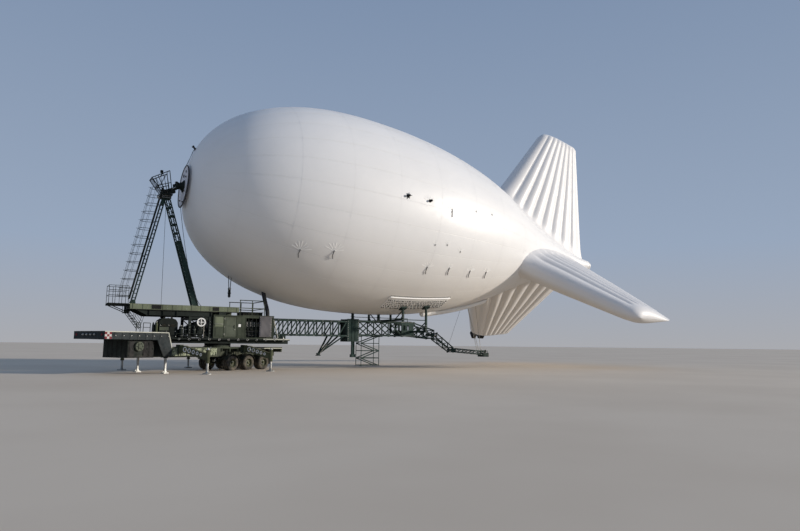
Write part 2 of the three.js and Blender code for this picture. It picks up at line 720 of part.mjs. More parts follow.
// Head block on the legs, a flared guard basket above it, and a lamp
function mastHead() {
  const shapes = [
    block([-1290, -770], [-270, 270], [MAST_TOP - 126, MAST_TOP + 60]),
    block([-1270, -720], [-427, 427], [MAST_TOP + 60, MAST_TOP + 107]),
  ];
  // columns: foot of the post, then its top
  const posts = [
    [[-1240, 9833], [-1872, 10667]], [[-1110, 9833], [-1571, 10851]],
    [[-760, 9833], [-960, 11190]],
  ];
  for (const y of [-407, 407]) {
    for (const [a, b] of posts) shapes.push(bar([a[0], y, a[1]], [b[0], y, b[1]], 36));
    shapes.push(bar([-1872, y, 10667], [-960, y, 11190], 40));
    shapes.push(bar([-1556, y, 10250], [-862, y, 10512], 36));
  }
  shapes.push(bar([-1872, -407, 10667], [-1872, 407, 10667], 40));
  shapes.push(bar([-1556, -407, 10250], [-1556, 407, 10250], 36));
  shapes.push(bar([-1319, -407, 10984], [-1319, 407, 10984], 36));
  shapes.push(rod([-1319, 0, 10987], [-1319, 0, 11132], 20, 8));
  shapes.push(rod([-1319, 0, 11103], [-1319, 0, 11248], 75, 10));
  return fuse(shapes);
}

// Short arm from the head to the nose hub, with the lock's jaws on its end
function mooringLock() {
  const nose = [-335, NOSE_HEIGHT - HUB_DROP];
  const shapes = [
    block([-1202, -853], [-165, 165], [MAST_TOP + 107 + GAP, MAST_TOP + 388]),
    bar([-1100, 0, MAST_TOP + 250], [-560, 0, MAST_TOP + 420], 270, 250),
    bar([-740, 0, MAST_TOP + 330], [-480, 0, nose[1] - 30], 230, 220),
    rod([-640, 0, nose[1] - 90], [nose[0] - 60, 0, nose[1] - 10], 150, 16),
    rod([nose[0] - 150, 0, nose[1] - 10], [nose[0] - 12, 0, nose[1]], 205, 16),
  ];
  return cut(fuse(shapes), [
    turned([[-335, 0], [-335, 1939], [0, 1939], [0, 0]], 12).rotateY(HULL_PITCH).translate(0, 0, NOSE_HEIGHT),
  ]);
}

piece(upperWorks, 'mast_front_leg', mastLeg(FRONT_FOOT, FRONT_HEAD, [95, 85], 130, 0.01, 10, 4), 'boom');
piece(upperWorks, 'mast_rear_leg', mastLeg(REAR_FOOT, REAR_HEAD, [150, 120], 220, 0.6, 5, 4), 'boom');
piece(upperWorks, 'mast_ladder', mastLadder(), 'boom');
piece(upperWorks, 'mast_head', mastHead(), 'boom');
piece(upperWorks, 'mooring_lock', mooringLock(), 'dark');

// Boom

const TAIL_HINGE = [17190, 2230];
const END_HINGE = [18900, 1180];
const TAIL_PIN = 40;
const END_PIN = 30;

// Both sides of a box truss as braced plates, with cross tubes between their rails.
// low and high are the rails' middle heights at the near and the far end.
function truss(x, low, high, bays, crossed, half, ties, rail = 45, web = 28) {
  const at = (share, level) => [x[0] + (x[1] - x[0]) * share, level[0] + (level[1] - level[0]) * share];
  const outline = [
    [x[0], low[0] - rail], [x[1], low[1] - rail], [x[1], high[1] + rail], [x[0], high[0] + rail],
  ];
  const holes = [];
  for (let bay = 0; bay < bays; bay += 1) {
    const [near, far] = [0.004 + 0.992 * bay / bays, 0.004 + 0.992 * (bay + 1) / bays];
    const corners = [at(near, low), at(far, low), at(far, high), at(near, high)];
    holes.push(...bracedBay(corners, crossed, rail, web));
  }
  const shapes = [[-half - 35, -half + 35], [half - 35, half + 35]].map((y) => plate(outline, y, holes));
  for (let tie = 0; tie < ties; tie += 1) {
    const share = 0.02 + 0.96 * tie / (ties - 1);
    for (const level of [low, high]) {
      const [px, pz] = at(share, level);
      shapes.push(block([px - 28, px + 28], [-half, half], [pz - 28, pz + 28]));
    }
  }
  return shapes;
}

function boomInner() {
  const [root, end] = [5188 + GAP, 10327];
  const shapes = truss([root, end], [2065, 2065], [2967, 2967], 9, false, BOOM_HALF, 4);
  for (const y of [-BOOM_HALF, BOOM_HALF]) {
    for (const x of [root + 130, 6060]) {
      shapes.push(block([x - 125, x + 125], [y - 90, y + 90], [DECK_TOP + GAP, 2040]));
    }
    for (const x of [9360, 10130]) shapes.push(bar([x, y, 2060], [8560, 0, 905], 80));
  }
  shapes.push(block([8480, 8650], [-107, 107], [845, 970]));
  return fuse(shapes);
}

// Side plates and cross tubes that join the boom's two lengths, with a support leg below
function boomCollar() {
  const [front, back] = [10327 + GAP, 11152];
  const shapes = [];
  for (const y of [-514, 475]) shapes.push(block([front, back], [y, y + 40], [1697, 3152]));
  for (const z of [1842, 2327, 2812, 3103]) shapes.push(block([front, back], [-485, 485], [z - 30, z + 30]));
  shapes.push(block([front + 60, front + 291], [-485, 485], [1842, 3103]));
  shapes.push(block([10899, 11074], [-90, 90], [873, 1842]));
  shapes.push(block([10841, 11132], [-126, 126], [718, 892]));
  shapes.push(block([10870, 11006], [-70, 70], [3103, 3782]));
  return cut(fuse(shapes), [bellyTool()]);
}

const OUTER_END = 15330;
const CRADLE_REAR = { x: 15150, z: [2330, 2480] };

function boomOuter() {
  const [root, end, webs] = [11155 + GAP, OUTER_END, 14400];
  const shapes = truss([root, webs + 100], [2124, 2124], [3016, 3016], 3, true, BOOM_HALF, 4);
  const oval = (x) => [...ring(x, 2760, 85, 12).slice(0, 6), ...ring(x, 2560, 85, 12).slice(6)];
  const { x, z } = CRADLE_REAR;
  const slot = [[x - 61, z[0] - 1], [x + 61, z[0] - 1], [x + 61, z[1] + 1], [x - 61, z[1] + 1]];
  const sheet = [[webs, 2079], [end, 2079], [end, 3061], [webs, 3061]];
  for (const y of [[-BOOM_HALF - 45, -BOOM_HALF + 15], [BOOM_HALF - 15, BOOM_HALF + 45]]) {
    shapes.push(plate(sheet, y, [oval(14620), oval(14890), slot]));
  }
  const across = [-BOOM_HALF, BOOM_HALF];
  for (const pz of [2124, 3016]) shapes.push(block([end - 90, end - 30], across, [pz - 28, pz + 28]));
  shapes.push(block([12800, 12940], [-70, 70], [2960, 3780]));
  shapes.push(block([12840, 12900], across, [2975, 3055]));
  return cut(fuse(shapes), [bellyTool()]);
}

function boomKnee() {
  const [root, end] = [OUTER_END + GAP, 17072];
  const shapes = truss([root, end], [2124, 1969], [3016, 2522], 2, true, BOOM_HALF, 2, 40, 25);
  const [x, z] = TAIL_HINGE;
  for (const y of [-320, 281]) {
    shapes.push(plate([
      [end - 160, z - 150], [x + 70, z - 75], [x + 70, z + 75], [end - 160, z + 150],
    ], [y, y + 39]));
  }
  shapes.push(block([end - 150, end - 10], [-BOOM_HALF, BOOM_HALF], [z - 85, z + 85]));
  shapes.push(rod([x, -388, z], [x, 388, z], TAIL_PIN, 10));
  return fuse(shapes);
}

// A light length between two hinges; its lugs turn on the pin at its front end.
function boomTail() {
  const [front, back, half] = [17330, 18800, 320];
  const shapes = truss([front, back], [1930, 1030], [2366, 1348], 3, false, half, 2, 33, 22);
  const [[x, z], [endX, endZ]] = [TAIL_HINGE, END_HINGE];
  for (const y of [-233, 194]) {
    shapes.push(plate([
      [x - 70, z - 60], [front + 100, z - 200], [front + 100, z + 110], [x - 70, z + 60],
    ], [y, y + 39]));
    const out = y < 0 ? -60 : 60;
    shapes.push(plate([
      [back - 80, endZ - 75], [endX + 58, endZ - 73], [endX + 58, endZ + 73], [back - 80, endZ + 112],
    ], [y + out, y + out + 39]));
  }
  shapes.push(block([front, front + 110], [-half, half], [z - 110, z - 20]));
  shapes.push(block([back - 95, back - 8], [-half, half], [endZ - 35, endZ + 45]));
  shapes.push(rod([endX, -320, endZ], [endX, 320, endZ], END_PIN, 8));
  return cut(fuse(shapes), [rod([x, -300, z], [x, 300, z], TAIL_PIN + 5, 10)]);
}

// Last length, nearly level, with the tail winch box on its end
function boomEnd() {
  const [front, back, half] = [19040, 21680, 233];
  const shapes = truss([front, back], [1057, 853], [1290, 1096], 4, false, half, 2, 30, 18);
  const [x, z] = END_HINGE;
  for (const y of [-185, 146]) {
    shapes.push(plate([
      [x - 65, z - 55], [front + 60, z - 140], [front + 60, z + 130], [x - 65, z + 55],
    ], [y, y + 39]));
  }
  shapes.push(block([front - 20, front + 60], [-half, half], [z - 35, z + 45]));
  shapes.push(block([21490, 22020], [-320, 320], [698, 980]));
  return cut(fuse(shapes), [rod([x, -300, z], [x, 300, z], END_PIN + 5, 8)]);
}

// A cross beam on the boom and one through its end sheets, each with a post and a pad at both ends,
// which steady the belly
function bellyCradle() {
  const half = 2330;
  const beams = [
    { x: 13380, z: [3016 + 45 + GAP, 3190], foot: 3020 },
    { x: CRADLE_REAR.x, z: CRADLE_REAR.z, foot: CRADLE_REAR.z[0] },
  ];
  const posts = [];
  const pads = [];
  for (const { x, z, foot } of beams) {
    posts.push(block([x - 60, x + 60], [-half, half], z));
    for (const y of [-half, half]) {
      posts.push(block([x - 60, x + 60], [y - 60, y + 60], [foot, 4500]));
      posts.push(bar([x, y * 0.55, z[1] - 40], [x, y, z[1] + 560], 50));
      pads.push(block([x - 205, x + 205], [y - 185, y + 185], [3500, 4700]));
    }
  }
  for (const y of [-half, half]) posts.push(bar([beams[0].x, y, 3125], [beams[1].x, y, 3125], 50));
  const skin = toSolid(bellyTool(COVER_SWELL + 60));
  const padding = toSolid(bellyTool(COVER_SWELL + 150)).subtract(skin);
  return toGeometry(toSolid(fuse(posts)).subtract(skin).add(toSolid(fuse(pads)).intersect(padding)));
}

// Steps that hang below the boom: two braced sides with treads between them
function boomSteps() {
  const [x, half, low, high, rows] = [[11400, 12740], 368, 165, 2124 - 45 - GAP, 4];
  const height = (high - low) / rows;
  const holes = [];
  for (let row = 0; row < rows; row += 1) {
    const [z0, z1] = [low + row * height, low + (row + 1) * height];
    const bay = [[x[0], z0], [x[1], z0], [x[1], z1], [x[0], z1]];
    holes.push(...bracedBay(row % 2 ? bay : [bay[1], bay[0], bay[3], bay[2]], false, 22, 30));
  }
  const side = [[x[0], low], [x[1], low], [x[1], high], [x[0], high]];
  const shapes = [[-half - 20, -half + 20], [half - 20, half + 20]].map((y) => plate(side, y, holes));
  for (let row = 0; row <= rows; row += 1) {
    const z = Math.min(Math.max(low + row * height, low + 20), high - 20);
    for (const post of [x[0] + 16, x[1] - 16]) {
      shapes.push(block([post - 14, post + 14], [-half, half], [z - 18, z + 18]));
    }
  }
  for (const post of x) shapes.push(block([post - 25, post + 25], [-485, 485], [high - 60, high]));
  return fuse(shapes);
}

piece(upperWorks, 'boom_inner', boomInner(), 'boom');
piece(upperWorks, 'boom_collar', boomCollar(), 'boom');
piece(upperWorks, 'boom_outer', boomOuter(), 'boom');
piece(upperWorks, 'boom_knee', boomKnee(), 'boom');
piece(upperWorks, 'boom_tail', boomTail(), 'boom');
piece(upperWorks, 'boom_end', boomEnd(), 'boom');
piece(upperWorks, 'belly_cradle', bellyCradle(), 'boom');
piece(upperWorks, 'boom_steps', boomSteps(), 'boom');

// Trailer, in its own frame

const NECK = { front: -7867, back: -4121, low: 1668, slope: 242 };
const BED = { front: -4121, back: 4140 };

function trailerFrame() {
  const shapes = [
    block([BED.front, BED.back], [-TRAILER_HALF, TRAILER_HALF], [BED_TOP - 70, BED_TOP]),
    rod([0, 0, BED_TOP - 60], [0, 0, 1396], RING_RADIUS, 24),
    block([BED.back - 116, BED.back], [-TRAILER_HALF, TRAILER_HALF], [1018, BED_TOP]),
  ];
  for (const y of [-465, 465]) {
    shapes.push(block([BED.front, BED.back], [y - 97, y + 97], [776, BED_TOP - 30]));
  }
  for (const x of [-4050, -2400, -873, 740, 1980]) {
    shapes.push(block([x - 60, x + 60], [-TRAILER_HALF + 40, TRAILER_HALF - 40], [1047, BED_TOP - 30]));
  }
  for (const side of [-1, 1]) {
    const y = side * (TRAILER_HALF - 20);
    shapes.push(block([BED.front, -921], [y - 20, y + 20], [853, BED_TOP - 30]));
    for (let x = -3700; x < -970; x += 520) {
      shapes.push(block([x - 30, x + 30], [y - 20, y + 50 * side + 20], [873, BED_TOP - 30]));
    }
    for (const x of Object.values(ARM_SPOTS)) {
      for (const z of [[979, 1028], [1396, 1445]]) {
        const edge = [side * 1115, side * (ARM_HINGE + 70)].sort((a, b) => a - b);
        shapes.push(block([x - 107, x + 107], edge, z));
      }
      const edge = [side * 1115, side * 1251].sort((a, b) => a - b);
      shapes.push(block([x - 107, x + 107], edge, [979, 1445]));
      shapes.push(rod([x, side * ARM_HINGE, 979], [x, side * ARM_HINGE, 1445], 35, 8));
    }
  }
  return fuse(shapes);
}

function gooseneck() {
  const { front, back, low, slope } = NECK;
  const side = [
    [front, NECK_TOP], [front, low + 30], [front + 1455, low], [back - 873, low], [back - 485, 853],
    [back - GAP, 853], [back - GAP, BED_TOP - 40], [back - slope, NECK_TOP],
  ];
  const shapes = [];
  for (const y of [-TRAILER_HALF, -504, 465, TRAILER_HALF - 40]) shapes.push(plate(side, [y, y + 40]));
  shapes.push(block([front, back - slope], [-TRAILER_HALF, TRAILER_HALF], [NECK_TOP - 60, NECK_TOP]));
  shapes.push(block([front, front + 1950], [-TRAILER_HALF, TRAILER_HALF], [low + 15, low + 50]));
  shapes.push(block([front, front + 60], [-TRAILER_HALF, TRAILER_HALF], [low + 20, NECK_TOP]));
  shapes.push(plate([
    [back - slope, NECK_TOP], [back - GAP, BED_TOP - 40],
    [back - GAP - 60, BED_TOP - 40], [back - slope - 60, NECK_TOP - 40],
  ], [-TRAILER_HALF, TRAILER_HALF]));
  const pin = front + 873;
  shapes.push(rod([pin, 0, 1552], [pin, 0, low + 40], 45), rod([pin, 0, 1552], [pin, 0, 1590], 65));
  const legs = [-LEG_SPREAD, LEG_SPREAD];
  for (const y of legs) shapes.push(block([LEG_X - 77, LEG_X + 77], [y - 80, y + 80], [756, low + 97]));
  const sleeves = legs.map((y) => block([LEG_X - 51, LEG_X + 51], [y - 52, y + 52], [679, 1720]));
  return cut(fuse(shapes), sleeves);
}

function landingLeg(y) {
  return fuse([
    block([LEG_X - 45, LEG_X + 45], [y - 46, y + 46], [30, 1396]),
    block([LEG_X - 155, LEG_X + 155], [y - 126, y + 126], [0, 40]),
  ]);
}

// Locker slung under the neck, open at its rear end, with a reel on its port side
function neckBox() {
  const [front, back, half, low, high, wall] = [-6465, -5010, 970, 795, NECK.low - GAP, 30];
  const room = block([front + wall, back + 10], [-half + wall, half - wall], [low + wall, high - wall]);
  const reel = { x: -5900, z: 1348 };
  return fuse([
    cut(block([front, back], [-half, half], [low, high]), [room]),
    rod([reel.x, -1086, reel.z], [reel.x, -half + 10, reel.z], 218, 20),
    rod([reel.x, -1125, reel.z], [reel.x, -half + 10, reel.z], 90, 14),
  ]);
}

function axle(x) {
  const shapes = [rod([x, -1144, WHEEL_RADIUS], [x, 1144, WHEEL_RADIUS], 62)];
  for (const y of [-465, 465]) {
    shapes.push(block([x - 90, x + 90], [y - 70, y + 70], [WHEEL_RADIUS, 776 - GAP]));
    shapes.push(block([x - 407, x + 407], [y - 40, y + 40], [543, 601]));
  }
  return fuse(shapes);
}

// Twin tyres on one rim, as one turned ring with a bore for the axle.
function twinWheel(x, side) {
  const [tread, rim] = [WHEEL_RADIUS, WHEEL_RADIUS * 0.58];
  const outline = [
    [0, 67], [0, tread - 50], [50, tread], [183, tread], [233, tread - 50], [238, rim],
    [276, rim], [281, tread - 50], [331, tread], [464, tread], [514, tread - 50], [514, rim],
    [400, rim - 30], [400, 67], [0, 67],
  ];
  const outward = side < 0 ? outline.map(([a, r]) => [-a, r]) : outline;
  const shape = turnedAcross(outward, WHEEL_SIDES);
  return shape.translate(x, side * 689, WHEEL_RADIUS);
}

// Swinging arm with round lightening holes; it hangs on the frame's pin and holds the jack's tube.
const JACK_REACH = 2018;
function outriggerArm() {
  const side = [
    [107, 1038], [107, 1387], [320, 1387], [JACK_REACH, 980], [JACK_REACH, 679], [485, 1038],
  ];
  // columns: distance from the hinge, height, radius
  const holes = [[417, 1203, 112], [737, 1145, 96], [1048, 1077, 82], [1339, 1019, 68], [1610, 960, 55]];
  const web = plate(side, [-85, 85], holes.map(([x, z, radius]) => ring(x, z, radius, 8)));
  const eye = rod([0, 0, 1038], [0, 0, 1387], 92, 10);
  const neck = block([40, 126], [-70, 70], [1038, 1387]);
  const tube = rod([JACK_REACH, 0, 543], [JACK_REACH, 0, 1203], 92, 10);
  return cut(fuse([web, eye, neck, tube]), [
    rod([0, 0, 900], [0, 0, 1552], 40, 10),
    rod([JACK_REACH, 0, 485], [JACK_REACH, 0, 1164], 68, 10),
  ]);
}

function jack() {
  return fuse([
    rod([JACK_REACH, 0, 20], [JACK_REACH, 0, 850], 60, 10),
    rod([JACK_REACH, 0, 0], [JACK_REACH, 0, 45], 240, 14),
  ]);
}

piece(trailer, 'trailer_frame', trailerFrame(), 'green');
piece(trailer, 'gooseneck', gooseneck(), 'green');
piece(trailer, 'neck_box', neckBox(), 'dark');

const SIDES = [['port', -1], ['starboard', 1]];
for (const [name, side] of SIDES) {
  piece(trailer, `landing_leg_${name}`, landingLeg(side * LEG_SPREAD), 'steel');
}

AXLES.forEach((x, i) => {
  piece(trailer, `axle_${i + 1}`, axle(x), 'dark');
  for (const [name, side] of SIDES) piece(trailer, `wheel_${name}_${i + 1}`, twinWheel(x, side), 'tyre');
});

for (const [end, x] of Object.entries(ARM_SPOTS)) {
  for (const [name, side] of SIDES) {
    const place = (geometry) => geometry.rotateZ(side * Math.PI / 2).translate(x, side * ARM_HINGE, 0);
    piece(trailer, `outrigger_${name}_${end}`, place(outriggerArm()), 'green');
    piece(trailer, `jack_${name}_${end}`, place(jack()), 'steel');
  }
}

// The origin is on the ground under the middle of the whole box.
model.updateMatrixWorld(true);
const box = new THREE.Box3().setFromObject(model);
model.position.set(-(box.min.x + box.max.x) / 2, -(box.min.y + box.max.y) / 2, -box.min.z);

export default model;
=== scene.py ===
"""Looks of a moored aerostat and its mooring trailer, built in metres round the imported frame."""
import random
from itertools import product
from math import acos, copysign, cos, exp, hypot, pi, radians, sin, sqrt

import bmesh
import bpy
from mathutils import Matrix, Vector


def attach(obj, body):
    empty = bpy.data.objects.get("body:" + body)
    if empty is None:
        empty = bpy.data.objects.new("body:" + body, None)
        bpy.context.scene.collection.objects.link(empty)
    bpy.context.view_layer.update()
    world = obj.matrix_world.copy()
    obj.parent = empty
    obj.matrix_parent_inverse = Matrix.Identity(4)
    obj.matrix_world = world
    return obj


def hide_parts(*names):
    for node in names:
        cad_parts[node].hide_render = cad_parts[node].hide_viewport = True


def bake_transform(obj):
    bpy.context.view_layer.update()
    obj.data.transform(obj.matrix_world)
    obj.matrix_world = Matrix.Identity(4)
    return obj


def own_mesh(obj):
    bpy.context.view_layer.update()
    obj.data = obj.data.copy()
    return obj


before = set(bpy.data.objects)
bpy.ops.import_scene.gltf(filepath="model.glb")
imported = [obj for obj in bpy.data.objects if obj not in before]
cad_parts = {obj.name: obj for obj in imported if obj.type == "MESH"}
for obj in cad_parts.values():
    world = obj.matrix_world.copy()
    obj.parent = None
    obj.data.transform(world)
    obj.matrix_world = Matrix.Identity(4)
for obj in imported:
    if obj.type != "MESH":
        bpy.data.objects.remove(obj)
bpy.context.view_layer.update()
rng = random.Random(7)

# Frames: part (x aft from the nose), hull (along, port to starboard, up from the axis), trailer
NOSE_X = -14.051884
MIDDLE_Y = 0.23713
NOSE_HEIGHT = 10.715
HULL_PITCH = radians(4.2)
SLEW_X = 2.269
TRAILER_YAW = radians(28)
PART = Matrix.Translation((NOSE_X, MIDDLE_Y, 0))
HULL = PART @ Matrix.Translation((0, 0, NOSE_HEIGHT)) @ Matrix.Rotation(HULL_PITCH, 4, "Y")
TRAILER = PART @ Matrix.Translation((SLEW_X, 0, 0)) @ Matrix.Rotation(TRAILER_YAW, 4, "Z")

# Faces, levels and places that several fittings share
UP = (0, 0, 1)
SIDES = (("port", -1), ("starboard", 1))
DECK_SIDE = 1.164
FRAME_TOP = 3.5685
ROOF = 3.1035
TRUSS_SIDE = 0.471
HOSE_FOOT = (5.023, -0.485)
SWIVEL_X = 2.812
DRUM_X, DRUM_Z = 1.008, 2.327
TRAILER_SIDE = 1.212
NECK_TIP = -7.867
BED_START, BED_END = -4.121, 4.14
LEG_X = -4.38
ROPE_EYES = ((21.24, -0.14), (21.42, -0.14), (21.3, 0.14))
AXLES = (0.12, 1.36, 2.6)
TYRE_RADIUS = 0.417

# Hull and fins, as in the frame
HULL_RADIUS = 6.4
HULL_LENGTH = 32.97
BLUNT_LENGTH = 4.21 * HULL_RADIUS
WIDEST = 0.365 * BLUNT_LENGTH
CONE_START = 3.5 * HULL_RADIUS
TAIL_RADIUS = 0.407
TAIL_SLOPE = -0.1
FIN_DROOP = radians(32)
FIN_ROLL = radians(-2.5)


# ---------------------------------------------------------------- camera, light and floor

def set_camera():
    """The camera stands where the photograph was taken from."""
    eye = PART @ Vector((-6.982, -35.919, 1.6))
    forward = Vector((0.50938, 0.85111, 0.12706)).normalized()
    level = Vector((0.85807, -0.51354, 0)).normalized()
    upright = level.cross(forward)
    roll = radians(0.53)
    right = level * cos(roll) + upright * sin(roll)
    up = upright * cos(roll) - level * sin(roll)
    data = bpy.data.cameras.new("camera")
    data.lens = 27.45
    data.sensor_width = 36
    data.clip_start = 0.1
    data.clip_end = 600
    camera = bpy.data.objects.new("camera", data)
    turn = Matrix((right, up, -forward)).transposed().to_4x4()
    camera.matrix_world = Matrix.Translation(eye) @ turn
    bpy.context.scene.collection.objects.link(camera)
    bpy.context.scene.camera = camera


def set_light():
    """A low warm key from behind the tail and a cool, even surround."""
    towards_key = Vector((0.812, -0.542, 0.217))
    data = bpy.data.lights.new("key", "SUN")
    data.energy = 3.45
    data.angle = radians(4)
    data.color = (1.0, 0.925, 0.83)
    key = bpy.data.objects.new("key", data)
    key.rotation_mode = "QUATERNION"
    key.rotation_quaternion = towards_key.to_track_quat("Z", "Y")
    bpy.context.scene.collection.objects.link(key)
    world = bpy.data.worlds.new("surround")
    world.use_nodes = True
    tree = world.node_tree
    tree.nodes.clear()
    out = tree.nodes.new("ShaderNodeOutputWorld")
    background = tree.nodes.new("ShaderNodeBackground")
    coords = tree.nodes.new("ShaderNodeTexCoord")
    split = tree.nodes.new("ShaderNodeSeparateXYZ")
    ramp = tree.nodes.new("ShaderNodeValToRGB")
    tree.links.new(coords.outputs["Generated"], split.inputs[0])
    tree.links.new(split.outputs["Z"], ramp.inputs[0])
    tree.links.new(ramp.outputs[0], background.inputs[0])
    tree.links.new(background.outputs[0], out.inputs[0])
    ramp.color_ramp.elements[0].position = 0.0
    ramp.color_ramp.elements[0].color = (0.43, 0.44, 0.47, 1)
    ramp.color_ramp.elements[1].position = 0.7
    ramp.color_ramp.elements[1].color = (0.17, 0.25, 0.4, 1)
    middle = ramp.color_ramp.elements.new(0.15)
    middle.color = (0.34, 0.42, 0.55, 1)
    background.inputs[1].default_value = 0.92
    bpy.context.scene.world = world
    bpy.context.scene.view_settings.view_transform = "Standard"


# ---------------------------------------------------------------- materials

class Shader:
    """A principled material with short calls for the nodes that feed it."""

    def __init__(self, name):
        self.material = bpy.data.materials.new(name)
        self.material.use_nodes = True
        self.tree = self.material.node_tree
        self.tree.nodes.clear()
        out = self.tree.nodes.new("ShaderNodeOutputMaterial")
        self.bsdf = self.tree.nodes.new("ShaderNodeBsdfPrincipled")
        self.tree.links.new(self.bsdf.outputs[0], out.inputs[0])
        self.coords = self.tree.nodes.new("ShaderNodeTexCoord")

    def feed(self, socket, value):
        if isinstance(value, bpy.types.NodeSocket):
            self.tree.links.new(value, socket)
        else:
            socket.default_value = value

    def node(self, kind, inputs=(), **settings):
        made = self.tree.nodes.new("ShaderNode" + kind)
        for key, value in settings.items():
            setattr(made, key, value)
        for key, value in dict(inputs).items():
            self.feed(made.inputs[key], value)
        return made

    def place(self, scale=(1, 1, 1), source="Object"):
        made = self.node("Mapping", {"Vector": self.coords.outputs[source], "Scale": scale})
        return made.outputs[0]

    def noise(self, scale, detail=4.0, rough=0.55, stretch=(1, 1, 1), source="Object"):
        made = self.node("TexNoise", {
            "Vector": self.place(stretch, source), "Scale": scale, "Detail": detail, "Roughness": rough,
        })
        return made.outputs["Fac"]

    def math(self, operation, a, b=0.0, clamp=False):
        made = self.node("Math", {0: a, 1: b}, operation=operation, use_clamp=clamp)
        return made.outputs[0]

    def band(self, value, low, high, start=0.0, end=1.0):
        """Maps low..high of a value on to start..end, smoothly and clamped."""
        made = self.node("MapRange", {
            "Value": value, "From Min": low, "From Max": high, "To Min": start, "To Max": end,
        }, interpolation_type="SMOOTHSTEP", clamp=True)
        return made.outputs[0]

    def blend(self, factor, a, b, mode="MIX"):
        made = self.node("Mix", data_type="RGBA", blend_type=mode)
        self.feed(made.inputs[0], factor)
        self.feed(made.inputs[6], a if isinstance(a, bpy.types.NodeSocket) else (*a, 1))
        self.feed(made.inputs[7], b if isinstance(b, bpy.types.NodeSocket) else (*b, 1))
        return made.outputs[2]

    def axis(self, name, source="Object"):
        split = self.node("SeparateXYZ", {0: self.coords.outputs[source]})
        return split.outputs[name]

    def facing_up(self):
        split = self.node("SeparateXYZ", {0: self.node("NewGeometry").outputs["Normal"]})
        return split.outputs["Z"]

    def bump(self, height, distance, strength=1.0, over=None):
        made = self.node("Bump", {"Height": height, "Distance": distance, "Strength": strength})
        if over is not None:
            self.feed(made.inputs["Normal"], over)
        return made.outputs[0]

    def done(self, colour, rough, normal=None, metal=0.0, **uniform):
        self.feed(self.bsdf.inputs["Base Color"], colour)
        self.feed(self.bsdf.inputs["Roughness"], rough)
        self.feed(self.bsdf.inputs["Metallic"], metal)
        if normal is not None:
            self.feed(self.bsdf.inputs["Normal"], normal)
        for key, value in uniform.items():
            self.bsdf.inputs[key.replace("_", " ")].default_value = value
        return self.material


DUST = (0.26, 0.225, 0.17)


def shade(colour, by):
    return tuple(min(1.0, c * by) for c in colour)


def painted(name, colour, rough=0.55, patchy=0.35, dusty=0.5, chips=0.5, metal=0.0):
    """Brushed-on vehicle paint: uneven tone, streaks, dust on ledges and low down, small chips."""
    s = Shader(name)
    large = s.noise(0.9, 5)
    fine = s.noise(14, 4)
    streak = s.noise(3.2, 4, stretch=(1, 1, 0.12))
    tone = s.blend(s.band(large, 0.35, 0.68), shade(colour, 1 - patchy), shade(colour, 1 + patchy))
    tone = s.blend(s.band(streak, 0.5, 0.75, 0, 0.35), tone, shade(colour, 0.5))
    tone = s.blend(s.band(fine, 0.3, 0.8, 0, 0.3), tone, shade(colour, 1.35))
    ledge = s.math("MULTIPLY", s.band(s.facing_up(), 0.55, 0.98),
                   s.band(s.noise(2.3, 5), 0.3, 0.7, 0.15, dusty))
    low = s.math("MULTIPLY", s.band(s.axis("Z"), 1.5, 0.0, 0, dusty), s.band(s.noise(5, 5), 0.35, 0.75))
    tone = s.blend(s.math("MAXIMUM", ledge, low), tone, DUST)
    spots = s.band(s.noise(38, 3, 0.7), 0.7, 0.74, 0, chips)
    tone = s.blend(spots, tone, (0.16, 0.11, 0.075))
    roughness = s.band(s.noise(6, 4), 0.2, 0.8, rough + 0.08, min(0.98, rough + 0.32))
    normal = s.bump(fine, 0.0025, 0.6, s.bump(s.noise(60, 2), 0.0012, 0.5))
    return s.done(tone, roughness, normal, metal, Specular_IOR_Level=0.22)


def mottled(name, dark, pale, scale=3.0):
    """Hand-sprayed blotches of a second colour over vehicle paint."""
    s = Shader(name)
    blot = s.noise(scale, 3, 0.6, stretch=(1, 1, 0.55))
    edge = s.noise(scale * 4, 3)
    mask = s.band(s.math("ADD", blot, s.math("MULTIPLY", edge, 0.15)), 0.5, 0.59)
    tone = s.blend(mask, dark, pale)
    tone = s.blend(s.band(s.noise(20, 4), 0.5, 0.8, 0, 0.3), tone, shade(DUST, 0.9))
    roughness = s.band(s.noise(7, 4), 0.2, 0.8, 0.75, 0.95)
    return s.done(tone, roughness, s.bump(edge, 0.003, 0.6), Specular_IOR_Level=0.22)


def coated_cloth(name, colour, rough=0.42, soil_and_painted_bounce=0.35):
    """Coated envelope fabric: smooth satin skin, faint streaks and a fine weave under the coat, with a painted
    warm bounce on its downward faces.
    """
    s = Shader(name)
    broad = s.noise(0.22, 3, stretch=(1, 1, 0.5))
    streak = s.noise(1.1, 5, stretch=(0.35, 1, 1))
    fine = s.noise(9, 5)
    tone = s.blend(s.band(broad, 0.3, 0.7), shade(colour, 0.955), colour)
    tone = s.blend(s.band(streak, 0.52, 0.8, 0, soil_and_painted_bounce * 0.35), tone, shade(colour, 0.82))
    # Downward faces blend towards warm tan: painted light, the floor's warm bounce painted into the cloth; the
    # same strength also sets the streaks.
    low = s.band(s.facing_up(), -0.25, -0.98, 0, soil_and_painted_bounce)
    tone = s.blend(low, tone, (0.6, 0.545, 0.46))
    tone = s.blend(s.band(fine, 0.62, 0.8, 0, 0.12), tone, (0.55, 0.53, 0.5))
    roughness = s.band(s.noise(2.5, 4), 0.25, 0.75, rough - 0.06, rough + 0.1)
    normal = s.bump(s.noise(0.9, 2), 0.012, 0.35)
    normal = s.bump(s.noise(160, 2), 0.0006, 0.35, normal)
    return s.done(tone, roughness, normal, Coat_Weight=0.12, Coat_Roughness=0.3, Sheen_Weight=0.05)


